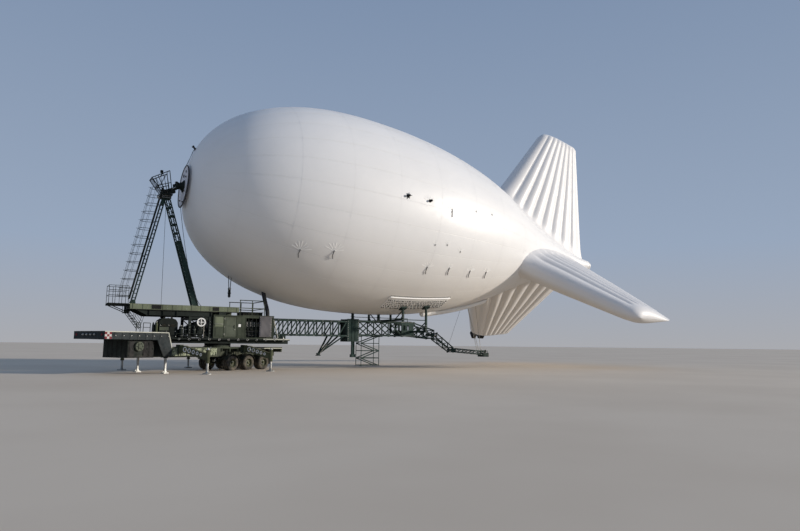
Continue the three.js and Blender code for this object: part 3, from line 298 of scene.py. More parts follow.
def bare_metal(name, colour=(0.42, 0.42, 0.4), rough=0.38):
    s = Shader(name)
    tone = s.blend(s.band(s.noise(5, 5), 0.35, 0.7), shade(colour, 0.7), shade(colour, 1.15))
    tone = s.blend(s.band(s.noise(22, 4), 0.6, 0.75, 0, 0.7), tone, (0.12, 0.075, 0.05))
    roughness = s.band(s.noise(12, 4), 0.2, 0.8, rough - 0.1, rough + 0.25)
    return s.done(tone, roughness, s.bump(s.noise(45, 3), 0.0015, 0.5), 0.75)


def rubber(name, colour=(0.022, 0.021, 0.02), dusty=0.75):
    s = Shader(name)
    tone = s.blend(s.band(s.noise(6, 5), 0.3, 0.75), colour, shade(colour, 1.9))
    tone = s.blend(s.band(s.noise(3.5, 6, 0.65), 0.38, 0.72, 0.05, dusty), tone, shade(DUST, 0.75))
    return s.done(tone, s.band(s.noise(9, 3), 0.2, 0.8, 0.78, 0.97), s.bump(s.noise(50, 3), 0.002, 0.5),
                  Specular_IOR_Level=0.25)


def cordage(name, colour, rough=0.85):
    s = Shader(name)
    twist = s.node("TexWave", {"Vector": s.place((1, 1, 1)), "Scale": 30.0, "Distortion": 2.0, "Detail": 2.0})
    tone = s.blend(s.band(twist.outputs["Fac"], 0.2, 0.8), shade(colour, 0.7), shade(colour, 1.2))
    return s.done(tone, rough, s.bump(twist.outputs["Fac"], 0.002, 0.6))


GREEN = (0.05, 0.06, 0.042)
# Pale olive: painted sunlight, the olive paint made lighter where its face is sunlit.
PAINTED_SUNLIT_OLIVE = (0.145, 0.165, 0.11)
BOOM_GREEN = (0.02, 0.04, 0.035)
DARK_GREEN = (0.014, 0.019, 0.016)

MAT = {
    "hull": coated_cloth("hull_cloth", (0.86, 0.85, 0.835), 0.42, 0.42),
    # Fin cloth: the hull cloth taken darker, as painted shade on the fins.
    "fin": coated_cloth("fin_cloth_painted_shade", (0.79, 0.775, 0.765), 0.48, 0.35),
    "tape": coated_cloth("seam_tape", (0.848, 0.838, 0.822), 0.44, 0.42),
    "duct": coated_cloth("duct_cloth", (0.88, 0.875, 0.86), 0.5, 0.2),
    "green": painted("green_paint", GREEN, 0.6, 0.3, 0.45, 0.4),
    # Painted sunlight: a lit copy of the olive paint.
    "pale_green": painted("painted_sunlight_olive", PAINTED_SUNLIT_OLIVE, 0.62, 0.25, 0.4, 0.3),
    "boom": painted("boom_paint", BOOM_GREEN, 0.5, 0.4, 0.16, 0.3),
    "dark": painted("dark_paint", DARK_GREEN, 0.55, 0.4, 0.25, 0.4),
    "membrane": coated_cloth("membrane_cloth", (0.74, 0.72, 0.75), 0.5, 0.2),
    "lacing": coated_cloth("lacing_cloth", (0.93, 0.92, 0.89), 0.55, 0.05),
    "grey": painted("grey_cover", (0.125, 0.12, 0.125), 0.7, 0.2, 0.3, 0.1),
    "panel": painted("panel_paint", (0.088, 0.1, 0.074), 0.6, 0.2, 0.35, 0.3),
    "deck_trim": painted("deck_trim", (0.46, 0.46, 0.4), 0.6, 0.15, 0.3, 0.3),
    "olive": painted("olive_paint", (0.062, 0.07, 0.038), 0.6, 0.3, 0.3, 0.3),
    "black": painted("black_paint", (0.012, 0.012, 0.012), 0.5, 0.3, 0.2, 0.3),
    "white": painted("white_paint", (0.78, 0.78, 0.75), 0.45, 0.08, 0.25, 0.3),
    "steel": bare_metal("worn_steel"),
    "tyre": rubber("tyre_rubber"),
    "hose": rubber("hose_rubber", (0.02, 0.022, 0.028), 0.25),
    "rope": cordage("pale_rope", (0.52, 0.49, 0.42)),
    "dark_rope": cordage("dark_rope", (0.045, 0.047, 0.05)),
    "mottled": mottled("mottled_paint", (0.026, 0.036, 0.021), (0.3, 0.33, 0.225), 13),
    "glass": painted("dark_glass", (0.012, 0.016, 0.018), 0.2, 0.2, 0.1, 0.0),
    "chalk": painted("chalk_paint", (0.46, 0.44, 0.42), 0.6, 0.2, 0.4, 0.4),
    "red": painted("red_paint", (0.16, 0.022, 0.03), 0.55, 0.25, 0.4, 0.4),
    # Neck paint: the trailer paint taken darker and bluer, as painted shade.
    "neck": painted("neck_painted_shade", (0.018, 0.024, 0.026), 0.5, 0.4, 0.1, 0.3),
}


def dress(materials):
    """Gives each carried-over node its material, by name."""
    for key, names in materials.items():
        for name in names.split():
            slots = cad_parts[name].data.materials
            slots.clear()
            slots.append(MAT[key])


# ---------------------------------------------------------------- mesh building

def circle(centre, radius, count, plane="xz", start=0.0):
    """Points spread evenly round a centre, in the plane of two axes."""
    points = []
    for k in range(count):
        turn = start + 2 * pi * k / count
        shift = {plane[0]: radius * cos(turn), plane[1]: radius * sin(turn)}
        points.append(tuple(at + shift.get(axis, 0.0) for axis, at in zip("xyz", centre)))
    return points


def depth(face, side, high, low=0.0):
    """The y range of a thing that stands out from a side face; side is -1 for port and 1 for starboard."""
    return sorted((face + side * low, face + side * high))


BOX_FACES = [(0, 1, 3, 2), (4, 6, 7, 5), (0, 4, 5, 1), (2, 3, 7, 6), (0, 2, 6, 4), (1, 5, 7, 3)]


class Shape:
    """Collects faces in one of the frames above and turns them into one piece."""

    def __init__(self, place=PART):
        self.place = place
        self.points = []
        self.faces = []
        self.slots = []
        self.soft = []
        self.uvs = {}

    def add(self, points, faces, slot=0, smooth=False):
        base = len(self.points)
        self.points += [self.place @ Vector(p) for p in points]
        for face in faces:
            self.faces.append([base + i for i in face])
            self.slots.append(slot)
            self.soft.append(smooth)
        return self

    def box(self, x, y, z, slot=0):
        return self.add([(a, b, c) for a in x for b in y for c in z], BOX_FACES, slot)

    def bar(self, a, b, width, height=None, slot=0):
        """A rectangular bar between two points; its width lies level."""
        a, b = Vector(a), Vector(b)
        along = (b - a).normalized()
        up = Vector((1, 0, 0)) if hypot(along.x, along.y) < 0.001 else Vector(UP)
        side = along.cross(up).normalized() * (width / 2)
        rise = side.cross(along).normalized() * ((height or width) / 2)
        points = [end + i * side + j * rise for end in (a, b) for i in (-1, 1) for j in (-1, 1)]
        return self.add(points, BOX_FACES, slot)

    def tube(self, path, radius, sides=8, slot=0, closed=False, smooth=True):
        """A round tube swept along a path; radius may be one number or one for each point."""
        path = [Vector(p) for p in path]
        count = len(path)
        radii = radius if hasattr(radius, "__len__") else [radius] * count
        points, normal = [], None
        for i, p in enumerate(path):
            before = path[i - 1] if i or closed else p
            after = path[(i + 1) % count] if i + 1 < count or closed else p
            along = (after - before).normalized()
            if normal is None:
                pick = Vector(UP) if abs(along.z) < 0.9 else Vector((1, 0, 0))
                normal = along.cross(pick).normalized()
            else:
                normal = (normal - along * normal.dot(along)).normalized()
            other = along.cross(normal)
            for k in range(sides):
                angle = 2 * pi * k / sides
                points.append(p + (normal * cos(angle) + other * sin(angle)) * radii[i])
        faces = []
        for i in range(count if closed else count - 1):
            j = (i + 1) % count
            for k in range(sides):
                m = (k + 1) % sides
                faces.append((i * sides + k, i * sides + m, j * sides + m, j * sides + k))
        self.add(points, faces, slot, smooth)
        if not closed:
            caps = [tuple(reversed(range(sides))), tuple(range(len(points) - sides, len(points)))]
            base = len(self.points) - len(points)
            for cap in caps:
                self.faces.append([base + i for i in cap])
                self.slots.append(slot)
                self.soft.append(False)
        return self

    def rod(self, a, b, radius, sides=10, slot=0):
        return self.tube([a, b], radius, sides, slot)

    def turned(self, start, along, outline, sides=24, slot=0, smooth=True):
        """A turned shape: outline holds (distance from start, radius) pairs; a radius of 0 closes an end."""
        start, along = Vector(start), Vector(along).normalized()
        pick = Vector(UP) if abs(along.z) < 0.9 else Vector((1, 0, 0))
        normal = along.cross(pick).normalized()
        other = along.cross(normal)
        points, rings = [], []
        for distance, radius in outline:
            centre = start + along * distance
            if radius < 1e-6:
                rings.append([len(points)])
                points.append(centre)
                continue
            rings.append(list(range(len(points), len(points) + sides)))
            for k in range(sides):
                angle = 2 * pi * k / sides
                points.append(centre + (normal * cos(angle) + other * sin(angle)) * radius)
        faces = []
        for low, high in zip(rings, rings[1:]):
            for k in range(sides):
                m = (k + 1) % sides
                if len(low) == 1 and len(high) == 1:
                    continue
                if len(low) == 1:
                    faces.append((low[0], high[m], high[k]))
                elif len(high) == 1:
                    faces.append((low[k], low[m], high[0]))
                else:
                    faces.append((low[k], low[m], high[m], high[k]))
        return self.add(points, faces, slot, smooth)

    def plug(self, start, along, length, radius, sides=14, slot=0):
        """A short cylinder, closed at both ends."""
        return self.turned(start, along, [(0, 0), (0, radius), (length, radius), (length, 0)], sides, slot)

    def collar(self, start, along, length, inner, outer, sides=20, slot=0):
        """A sleeve whose inner radius shows only at its ends."""
        return self.turned(start, along, [
            (0, inner), (0, outer), (length, outer), (length, inner)], sides, slot)

    def grid(self, rows, slot=0, smooth=True, wrap=False):
        """A sheet of quads over rows of points; wrap joins each row's end to its start."""
        count = len(rows[0])
        faces = []
        for i in range(len(rows) - 1):
            for k in range(count if wrap else count - 1):
                m = (k + 1) % count
                faces.append((i * count + k, i * count + m, (i + 1) * count + m, (i + 1) * count + k))
        return self.add([p for row in rows for p in row], faces, slot, smooth)

    def sheet(self, front, back):
        """A thin sheet between two grids of points, closed round its rim."""
        rims = [[row[0] for row in rows] + rows[-1][1:] + [row[-1] for row in rows[-2::-1]] + rows[0][-2:0:-1]
                for rows in (front, back)]
        return self.grid(front).grid([row[::-1] for row in back]).grid(rims, wrap=True)

    def prism(self, outline, shift, slot=0):
        """A flat outline of points made thick by the vector shift."""
        shift = Vector(shift)
        count = len(outline)
        points = [Vector(p) for p in outline] + [Vector(p) + shift for p in outline]
        faces = [tuple(reversed(range(count))), tuple(range(count, 2 * count))]
        faces += [(k, (k + 1) % count, count + (k + 1) % count, count + k) for k in range(count)]
        return self.add(points, faces, slot)

    def piece(self, name, materials, slot, replaces=(), bevel=0.0, body="upper_works", welded=False):
        """Makes the mesh; it rides on the body, if there is one. The slot argument is not used."""
        mesh = bpy.data.meshes.new(name)
        mesh.from_pydata([tuple(p) for p in self.points], [], self.faces)
        for key in materials.split():
            mesh.materials.append(MAT[key])
        mesh.polygons.foreach_set("material_index", self.slots)
        mesh.polygons.foreach_set("use_smooth", self.soft)
        if welded:
            work = bmesh.new()
            work.from_mesh(mesh)
            bmesh.ops.remove_doubles(work, verts=work.verts, dist=0.0005)
            bmesh.ops.recalc_face_normals(work, faces=work.faces)
            work.to_mesh(mesh)
            work.free()
        mesh.update()
        made = bpy.data.objects.new(name, mesh)
        bpy.context.scene.collection.objects.link(made)
        if bevel:
            edge = made.modifiers.new("edge", "BEVEL")
            edge.width = bevel
            edge.segments = 2
            edge.limit_method = "ANGLE"
            edge.angle_limit = radians(40)
            edge.use_clamp_overlap = True
        if body:
            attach(made, body)
        if replaces:
            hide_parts(*replaces)
        return made


def make_floor():
    s = Shader("floor")
    tone = s.blend(s.band(s.noise(0.12, 4), 0.3, 0.7), (0.66, 0.555, 0.435), (0.72, 0.615, 0.49))
    material = s.done(tone, 0.9)
    reach, sides = 480, 96
    edge = [(reach * cos(2 * pi * k / sides), reach * sin(2 * pi * k / sides), 0)
            for k in range(sides)]
    mesh = bpy.data.meshes.new("floor")
    mesh.from_pydata(edge, [], [tuple(range(sides))])
    mesh.materials.append(material)
    floor = bpy.data.objects.new("floor", mesh)
    bpy.context.scene.collection.objects.link(floor)


# ---------------------------------------------------------------- hull

def smooth(value, low, high):
    t = min(1.0, max(0.0, (value - low) / (high - low)))
    return t * t * (3 - 2 * t)


def blunt_radius(along):
    if along < WIDEST:
        share = (WIDEST - along) / WIDEST
        return HULL_RADIUS * max(0.0, 1 - share ** 2.147) ** (1 / 2.437)
    share = (along - WIDEST) / (BLUNT_LENGTH - WIDEST)
    return HULL_RADIUS * max(0.0, 1 - share ** 2.038) ** 0.609


CONE_SLOPE = (blunt_radius(CONE_START) - blunt_radius(CONE_START - 0.01)) / 0.01


def hull_radius(along):
    if along < CONE_START:
        return blunt_radius(max(along, 0.0))
    span = HULL_LENGTH - CONE_START
    t = (along - CONE_START) / span
    return (blunt_radius(CONE_START) * (2 * t ** 3 - 3 * t ** 2 + 1)
            + CONE_SLOPE * span * (t ** 3 - 2 * t ** 2 + t)
            + TAIL_RADIUS * (3 * t ** 2 - 2 * t ** 3)
            + TAIL_SLOPE * span * (t ** 3 - t ** 2))


def hull_slope(along):
    step = 0.004
    return (hull_radius(along + step) - hull_radius(along - step)) / (2 * step)


def on_hull(along, angle, off=0.0):
    """A point on the skin, moved out by off; angle 0 is port and 90 degrees is the top."""
    slope = hull_slope(along)
    length = hypot(slope, 1)
    radius = hull_radius(along) + off / length
    along -= off * slope / length
    return Vector((along, -radius * cos(angle), radius * sin(angle)))


GORES = 28
PANEL_RINGS = [2.2, 4.9, 7.8, 10.8, 13.8, 16.8, 19.7, 22.5, 25.2, 27.6, 29.8, 31.6]


def make_hull():
    """The gas envelope: gores that fill out between their seams, drawn in a little at each seam."""
    around, stations = 8 * GORES, 190
    rows = []
    for i in range(stations + 1):
        share = (1 - cos(pi * i / stations)) / 2
        along = 0.0004 + (HULL_LENGTH - 0.0004) * share
        fullness = 0.004 * smooth(hull_radius(along), 0.8, 5.0)
        row = []
        for k in range(around):
            angle = 2 * pi * k / around
            draw = abs(cos(GORES * angle / 2)) ** 6
            ring = min(abs(along - ring_at) for ring_at in PANEL_RINGS)
            draw = max(draw, 0.5 * exp(-(ring / 0.12) ** 2))
            row.append(on_hull(along, angle, -fullness * draw))
        rows.append(row)
    skin = Shape(HULL)
    skin.grid(rows, wrap=True)
    skin.add([rows[0][k] for k in range(around)], [tuple(range(around))], 0, True)
    skin.add([rows[-1][k] for k in range(around)], [tuple(reversed(range(around)))], 0, True)
    skin.piece("envelope_skin", "hull", "envelope", ["envelope"], welded=True)


def make_seams():
    """Seam tapes: one along each gore and one round each ring of panels."""
    tapes = Shape(HULL)
    half, lift = 0.022, 0.0008
    for gore in range(GORES):
        angle = 2 * pi * gore / GORES
        rows = []
        for i in range(111):
            share = (1 - cos(pi * i / 110)) / 2
            along = 0.35 + (HULL_LENGTH - 0.42) * share
            turn = half / max(hull_radius(along), 0.35)
            rows.append([on_hull(along, angle + k * turn, lift - 0.009 * (k == 0)) for k in (-1, 0, 1)])
        tapes.grid(rows)
    for ring_at in PANEL_RINGS:
        rows = []
        for k in range(8 * GORES + 1):
            angle = 2 * pi * k / (8 * GORES)
            rows.append([on_hull(ring_at + d, angle, lift) for d in (-half, half)])
        tapes.grid(rows)
    tapes.piece("envelope_seams", "tape", "envelope")


# ---------------------------------------------------------------- fins

FIN_LEADING = (3.75, 0.85, 0.6 / 0.81)
FIN_TRAILING = (5.04, 0.22, -0.07 / 1.36)
FIN_TIP = 1.66
LEADING_TUBE = 0.14
TUBES = 7


def fin_edge(edge, radius):
    along, at, rake = edge
    return (along + (radius - at) * rake) * HULL_RADIUS


def fin_tip(x):
    """The tip's radius falls a little towards the trailing edge, and more at its rounded corner."""
    return FIN_TIP - 0.055 * x ** 1.4 - 0.032 * max(0.0, (x - 0.88) / 0.12) ** 2


def fin_thickness(radius, tip):
    """Full thickness at a radius, in hull radii, rounded off towards the tip."""
    if radius < 0.85:
        return 2.23 - 0.242 * (radius - 0.05) / 0.8
    full = 1.988 - 0.568 * (radius - 0.85) / 0.6
    t = max(0.0, (radius - (tip - 0.105)) / 0.1052)
    return full * sqrt(max(0.0, 1 - t * t))


def fin_stations():
    """Chord shares, each with how far it lies through its tube."""
    stations = [(LEADING_TUBE * (k / 22) ** 2, k / 22) for k in range(22)]
    width = (1 - LEADING_TUBE) / TUBES
    for tube in range(TUBES):
        stations += [(LEADING_TUBE + width * (tube + k / 12), k / 12) for k in range(12)]
    return stations + [(1.0, 0.0)]


def aerofoil(x):
    return max(0.0, 1.4845 * sqrt(x) - 0.63 * x - 1.758 * x ** 2 + 1.4215 * x ** 3 - 0.5075 * x ** 4)


def fin_foot(x):
    """The radius, in hull radii, where the fin's skin at chord share x goes into the hull."""
    foot = 0.6
    for _ in range(14):
        lead, trail = fin_edge(FIN_LEADING, foot), fin_edge(FIN_TRAILING, foot)
        along = lead + x * (trail - lead)
        skin = hull_radius(along) if along < HULL_LENGTH else TAIL_RADIUS
        deep = fin_thickness(foot, fin_tip(x)) * aerofoil(x) * 0.92 + 0.3 * sin(pi * min(1, 0.06 + x)) ** 0.5
        target = (sqrt(max(skin ** 2 - deep ** 2, 0.0)) - 0.05) / HULL_RADIUS
        foot += 0.6 * (max(target, 0.03) - foot)
    return foot


def fin_rows(tilt, fade):
    """Rows of skin points from the hull to the tip; fade is where the tubes run out, below the tip."""
    stations = fin_stations()
    feet = {x: fin_foot(x) for x, share in stations}
    tube_width = (1 - LEADING_TUBE) / TUBES
    rows, count = [], 56
    for row in range(count + 1):
        span = 1 - (1 - row / count) ** 1.9
        line = []
        for side in (1, -1):
            for x, share in stations if side == 1 else stations[::-1]:
                foot, tip = feet[x], fin_tip(x)
                radius = foot + (tip - foot) * span
                lead, trail = fin_edge(FIN_LEADING, radius), fin_edge(FIN_TRAILING, radius)
                u = min(1.0, max(0.0, (radius - (tip - 0.08)) / 0.08))
                lead += (trail - lead) * 0.1 * (1 - sqrt(1 - u * u))
                distance = (radius - foot) * HULL_RADIUS
                lobes = smooth(distance, 0.2, 0.9) * (1 - smooth(radius - tip, *fade))
                thick = fin_thickness(radius, tip)
                width = tube_width * (trail - lead)
                if x < LEADING_TUBE:
                    arc = 1.0 - max(0.0, (share - 0.5) / 0.5) ** 2.4
                else:
                    arc = 1 - abs(2 * share - 1) ** 2.1
                bulge = 0.17 * width * min(1.0, (1 - x) * 9) * min(1.0, thick / 0.5)
                deep = thick * aerofoil(x) * 0.94 + bulge * (arc - 0.55) * lobes
                deep = max(deep, min(0.045, thick * 0.2) * min(1, x * 40))
                flare = 0.34 * exp(-distance / 0.42)
                deep += flare * sin(pi * min(1, 0.06 + x)) ** 0.5 * 0.8
                along = lead + x * (trail - lead) + (2 * x - 1) * flare * 0.5
                up = radius * HULL_RADIUS
                across = side * deep
                line.append((along, across * cos(tilt) - up * sin(tilt),
                             across * sin(tilt) + up * cos(tilt)))
        rows.append(line)
    return rows


def make_fins():
    for name, tilt, fade in (
        ("fin_upper", FIN_ROLL, (-0.045, -0.015)),
        ("fin_port", pi / 2 + FIN_DROOP + FIN_ROLL, (-0.17, -0.1)),
        ("fin_starboard", -pi / 2 - FIN_DROOP + FIN_ROLL, (-0.1, -0.04)),
    ):
        rows = fin_rows(tilt, fade)
        fin = Shape(HULL)
        fin.grid(rows, wrap=True)
        fin.add(rows[-1], [tuple(range(len(rows[-1])))], 0, True)
        fin.piece(name + "_skin", "fin", "envelope", [name], welded=True)


# ---------------------------------------------------------------- on the hull

def between(a, b, share):
    return Vector(a).lerp(Vector(b), share)


def sagging(a, b, sag, count=10):
    """Points of a slack line from a to b; sag is its drop at the middle."""
    drop = Vector((0, 0, sag))
    return [between(a, b, k / count) - drop * (4 * (k / count) * (1 - k / count)) for k in range(count + 1)]


RING_CENTRE = (-0.085, -0.24)
RING_RADIUS = 1.225
HOOP_WIRE = 0.036


def on_ring(radius, angle, along=0.0):
    return (RING_CENTRE[0] + along, radius * sin(angle), RING_CENTRE[1] + radius * cos(angle))


def make_nose():
    """Hoop with a laced membrane, the hub that the lock holds, and the stays up to the knob above."""
    rows, around = [], 96
    for i in range(15):
        radius = 0.17 + (RING_RADIUS - 0.17) * i / 14
        line = []
        for k in range(around):
            angle = 2 * pi * k / around
            crease = 0.012 * sin(12 * angle) * sin(pi * i / 14)
            line.append(on_ring(radius, angle, crease + 0.02 * sin(pi * i / 14)))
        rows.append(line)
    back = [[(x + 0.006, y, z) for x, y, z in row] for row in rows]
    cloth = Shape(HULL).grid(rows + back[::-1] + [rows[0]], wrap=True)
    membrane = cloth.piece("nose_membrane", "membrane", "white_paint")
    ring = Shape(HULL)
    ring.tube([on_ring(RING_RADIUS, 2 * pi * k / 72) for k in range(72)], HOOP_WIRE, 8, 1, True)
    ring.turned((-0.32, 0, RING_CENTRE[1]), (1, 0, 0), [
        (0, 0), (0, 0.15), (0.02, 0.19), (0.09, 0.2), (0.11, 0.255), (0.16, 0.26), (0.2, 0.36), (0.235, 0.37),
        (0.26, 0.3), (0.29, 0.28), (0.305, 0.26), (0.305, 0),
    ], 32, 2)
    for k in range(16):
        angle = 2 * pi * k / 16
        ring.rod(on_ring(0.3, angle, -0.02), on_ring(0.3, angle, -0.045), 0.022, 6, 1)
    for radius, angle, length in ((0.78, 0.25, 0.17), (0.95, 5.9, 0.12), (0.7, 5.6, 0.1), (0.85, 2.6, 0.08),
                                  (1.0, 3.5, 0.09), (0.6, 4.1, 0.07), (0.9, 1.4, 0.07)):
        a = Vector(on_ring(radius, angle, -0.022))
        ring.bar(a, a + Vector((0, 0.3 * length, -length)), 0.05, 0.03, 1)
    for angle in (-0.16, 0.16):
        top = on_hull(0.3, pi / 2 - angle * 0.5, 0.07)
        ring.tube([on_ring(RING_RADIUS, angle), between(on_ring(RING_RADIUS, angle), top, 0.5), top], 0.011,
                  6, 1)
    knob = on_hull(0.31, pi / 2, 0.0)
    ring.turned(knob, (-0.75, 0, 0.66), [(-0.02, 0), (-0.02, 0.1), (0.02, 0.1), (0.05, 0.06), (0.15, 0.055),
                                         (0.2, 0.085), (0.24, 0.07), (0.26, 0)], 14, 1)
    ring.piece("nose_ring", "membrane dark_rope dark", "white_paint", ["nose_dish"])


# Along and angle in degrees of each fan of straps on the port side, its reach in metres and its rope
FANS = [
    (5.59, -38.1, 0.62, 1), (7.4, -34.0, 0.62, 1), (12.75, 2.4, 0.42, 0), (14.59, 1.1, 0.45, 1),
    (16.69, 4.6, 0.36, 0), (18.27, 6.7, 0.36, 0), (13.66, -34.2, 0.46, 1), (15.39, -33.3, 0.34, 1),
    (17.26, -34.1, 0.4, 1), (18.84, -34.4, 0.4, 1), (13.69, -20.7, 0.3, 0), (14.62, -19.5, 0.3, 0),
    (15.82, -22.3, 0.34, 0),
]


def make_fans():
    """Reinforcing fans: straps that spread over the skin from a ring, some with a short hanging rope."""
    fans = Shape(HULL)
    for along, degrees, reach, rope in FANS:
        for side in (1, -1):
            angle = radians(degrees) if side > 0 else pi - radians(degrees)
            radius = hull_radius(along)

            def spot(out, turn, lift):
                return on_hull(along + out * sin(turn), angle + side * out * cos(turn) / radius, lift)

            for k in range(5 if reach < 0.4 else 7):
                turn = (k - (2 if reach < 0.4 else 3)) * 0.42 + rng.uniform(-0.06, 0.06)
                length = reach * rng.uniform(0.8, 1.05)
                rows = []
                for i in range(7):
                    out = 0.05 + (length - 0.05) * i / 6
                    half = 0.014 + 0.02 * i / 6
                    slip = half / max(out, 0.05)
                    rows.append([spot(out, turn - slip, 0.0), spot(out, turn - slip * 0.6, 0.006),
                                 spot(out, turn + slip * 0.6, 0.006), spot(out, turn + slip, 0.0)])
                fans.grid(rows, 0, False)
            fans.tube([spot(0.045, 2 * pi * k / 10, 0.012) for k in range(10)], 0.009, 6, 1, True)
            if rope:
                foot = spot(0.05, pi, 0.02)
                fans.tube([foot, spot(0.24, pi + 0.1, 0.05), spot(0.46, pi - 0.12, 0.04)], 0.021, 6, 1)
    fans.piece("hull_fans", "lacing dark_rope", "envelope")


def make_hull_fitting():
    """Small black fitting with its feet and a plain one behind it, on the port side."""
    fitting = Shape(HULL)
    for along, degrees in ((11.23, 2.2), (12.83, 2.6)):
        angle, radius = radians(degrees), hull_radius(along)
        fitting.turned(on_hull(along, angle, -0.01), on_hull(along, angle, 1) - on_hull(along, angle, 0), [
            (0, 0), (0, 0.1), (0.03, 0.1), (0.05, 0.05), (0.14, 0.045), (0.17, 0.075), (0.2, 0.06), (0.21,
                                                                                                     0)], 14)
        if along < 12:
            for out, turn in ((0.27, 0.3), (0.2, 1.3), (0.17, 2.2), (0.28, 3.4), (0.2, 4.4), (0.17, 5.4)):
                tip = on_hull(along + out * cos(turn), angle + out * sin(turn) / radius, 0.012)
                fitting.tube([on_hull(along, angle, 0.05), tip], 0.016, 6)
    fitting.piece("hull_fitting", "black", "dark_paint")


# ---------------------------------------------------------------- soft pieces under the belly

def make_cover():
    """Laced cover of the payload bay: one stretched panel, puckered between its rows of lacing."""
    start, end, high, low = 12.19, 16.96, radians(-57.9), radians(-70.7)
    columns, lines, thick = 120, 30, 0.004

    def spot(u, v, off):
        return on_hull(start + (end - start) * u, high + (low - high) * v, off)

    def edge(u, v):
        """Rises from 0 at the rim to 1 inside it."""
        return min(1, min(u, 1 - u) * 14) * min(1, min(v, 1 - v) * 6)

    def lift(u, v):
        pucker = abs(sin(pi * u * 20)) ** 0.7 * abs(sin(pi * v * 3)) ** 0.5
        return 0.012 + 0.045 * edge(u, v) ** 0.6 + 0.02 * pucker * edge(u, v)

    outer, inner = ([[spot(i / columns, k / lines, lift(i / columns,
                                                        k / lines) - sunk) for k in range(lines + 1)]
                     for i in range(columns + 1)] for sunk in (0.0, thick))
    cover = Shape(HULL).sheet(outer, inner)
    hem = Shape(HULL)
    hem.tube([spot(i / 60, -0.015, 0.055) for i in range(61)], [0.02] + [0.052] * 59 + [0.02], 12)
    roll = hem.piece("belly_cover_hem", "lacing", "duct")
    made = cover.piece("belly_cover", "lacing", "duct", ["payload_cover"], welded=True)
    lace = Shape(HULL)
    for v in (0.18, 0.36, 0.52, 0.68, 0.84):
        for i in range(1, 36):
            u = (i + rng.uniform(-0.3, 0.3)) / 36
            high_up = 0.012 + 0.045 * edge(u, v) ** 0.6
            lace.tube([spot(u - 0.003, v, high_up), spot(u + 0.003, v + 0.05, high_up + 0.012),
                       spot(u + 0.006, v + rng.uniform(0.07, 0.1), high_up)], rng.uniform(0.022, 0.034), 6)
    for i in range(40):
        u = (i + 0.5) / 40
        stitch = [spot(u, 0.01, 0.015), spot(u + 0.004, -0.09, 0.02), spot(u + 0.008, -0.1, 0.004)]
        lace.tube(stitch, 0.012, 5)
    lace.piece("belly_cover_lacing", "dark_rope", "hose")


def make_duct():
    """Fabric air duct along the keel: a tube held by bands, fuller between them."""
    count, around = 120, 20
    rows = []
    for i in range(count + 1):
        along = 16.31 + (22.09 - 16.31) * i / count
        beat = abs(sin(pi * i / count * 14)) ** 0.35
        radius = 0.203 * min(1.0, 0.25 + min(i, count - i) / 5) * (0.9 + 0.1 * beat)
        middle = (along, -0.485, -hull_radius(along) - 0.06)
        line = []
        for k in range(around):
            angle = 2 * pi * k / around
            y, z = middle[1] + radius * cos(angle), middle[2] + radius * sin(angle)
            skin = hull_radius(along) + 0.012
            if hypot(y, z) < skin:
                z = -sqrt(max(skin ** 2 - y ** 2, 0))
            line.append((along, y, z))
        rows.append(line)
    duct = Shape(HULL)
    duct.grid(rows, wrap=True)
    duct.add(rows[0], [tuple(reversed(range(around)))], 0, True)
    duct.add(rows[-1], [tuple(range(around))], 0, True)
    duct.piece("keel_duct_skin", "duct", "duct", ["keel_duct"], welded=True)


def make_keel_strip():
    """A pale strip along the keel, beside the duct."""
    strip = Shape(HULL)
    rows = []
    for i in range(61):
        along = 12.6 + (20.6 - 12.6) * i / 60
        angle = radians(-74.5 - 5.5 * i / 60)
        half = 0.05 / hull_radius(along)
        rows.append([on_hull(along, angle + half, 0.001), on_hull(along, angle + half * 0.6, 0.012),
                     on_hull(along, angle - half * 0.6, 0.012), on_hull(along, angle - half, 0.001)])
    strip.grid(rows)
    strip.piece("keel_strip", "tape", "envelope")


def free_rope(name, points, radius, finish, bends_to=None, hauled=None):
    """A rope held at both ends; it rides on the upper works.

    Given bends_to, it rides on no body instead and its points are baked in place; given hauled, it gets a mesh
    of its own.
    """
    line = Shape(PART)
    line.tube(points, radius, 6)
    made = line.piece(name, finish, "hose", body=None if bends_to else "upper_works")
    if bends_to:
        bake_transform(made)
    if hauled:
        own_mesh(made)


def make_ropes():
    """Ropes between the airship and the gear that holds it."""
    to_part = PART.inverted() @ HULL
    ring_foot = to_part @ Vector(on_ring(RING_RADIUS + 0.04, pi))
    fall = 3.53
    points = []
    for k in range(25):
        x = ring_foot.x + (1.455 - ring_foot.x) * k / 24
        points.append((x, 0.0, fall + (ring_foot.z - fall) * ((1.455 - x) / (1.455 - ring_foot.x)) ** 2))
    free_rope("nose_rope", points, 0.014, "dark_rope")
    free_rope("mast_rope", sagging((-0.99, 0.05, 9.62), (-0.93, 0.05, 3.54), 0.0, 16), 0.01, "dark_rope")
    tops = (("tail_rope_front", 20.75, -91), ("tail_rope_rear", 21.47, -91), ("tail_rope_port", 21.0, -96))
    for (name, along, degrees), (x, y) in zip(tops, ROPE_EYES):
        top = to_part @ on_hull(along, radians(degrees), -0.06)
        free_rope(name, sagging(top, (x, y, 1.12), 0.0, 16), 0.016, "rope", hauled=0.47)
    fin_tie = to_part @ on_hull(20.1, radians(-88), -0.04)
    boom_tie = Vector((18.42, -0.32, 1.61))
    free_rope("tail_rope_boom", sagging(fin_tie, boom_tie, 0.0, 16), 0.008, "dark_rope", "boom_tail")


# ---------------------------------------------------------------- small things that repeat

def bolt(shape, spot, axis, radius=0.018, slot=0):
    """A hexagon head on its washer."""
    outline = [(0, 0), (0, 1.5 * radius), (0.2 * radius, 1.5 * radius), (0.2 * radius, radius),
               (radius, radius), (radius, 0)]
    shape.turned(spot, axis, outline, 6, slot, False)


def bolt_row(shape, a, b, count, axis, radius=0.018, slot=0):
    for k in range(count):
        bolt(shape, between(a, b, (k + 0.5) / count), axis, radius, slot)


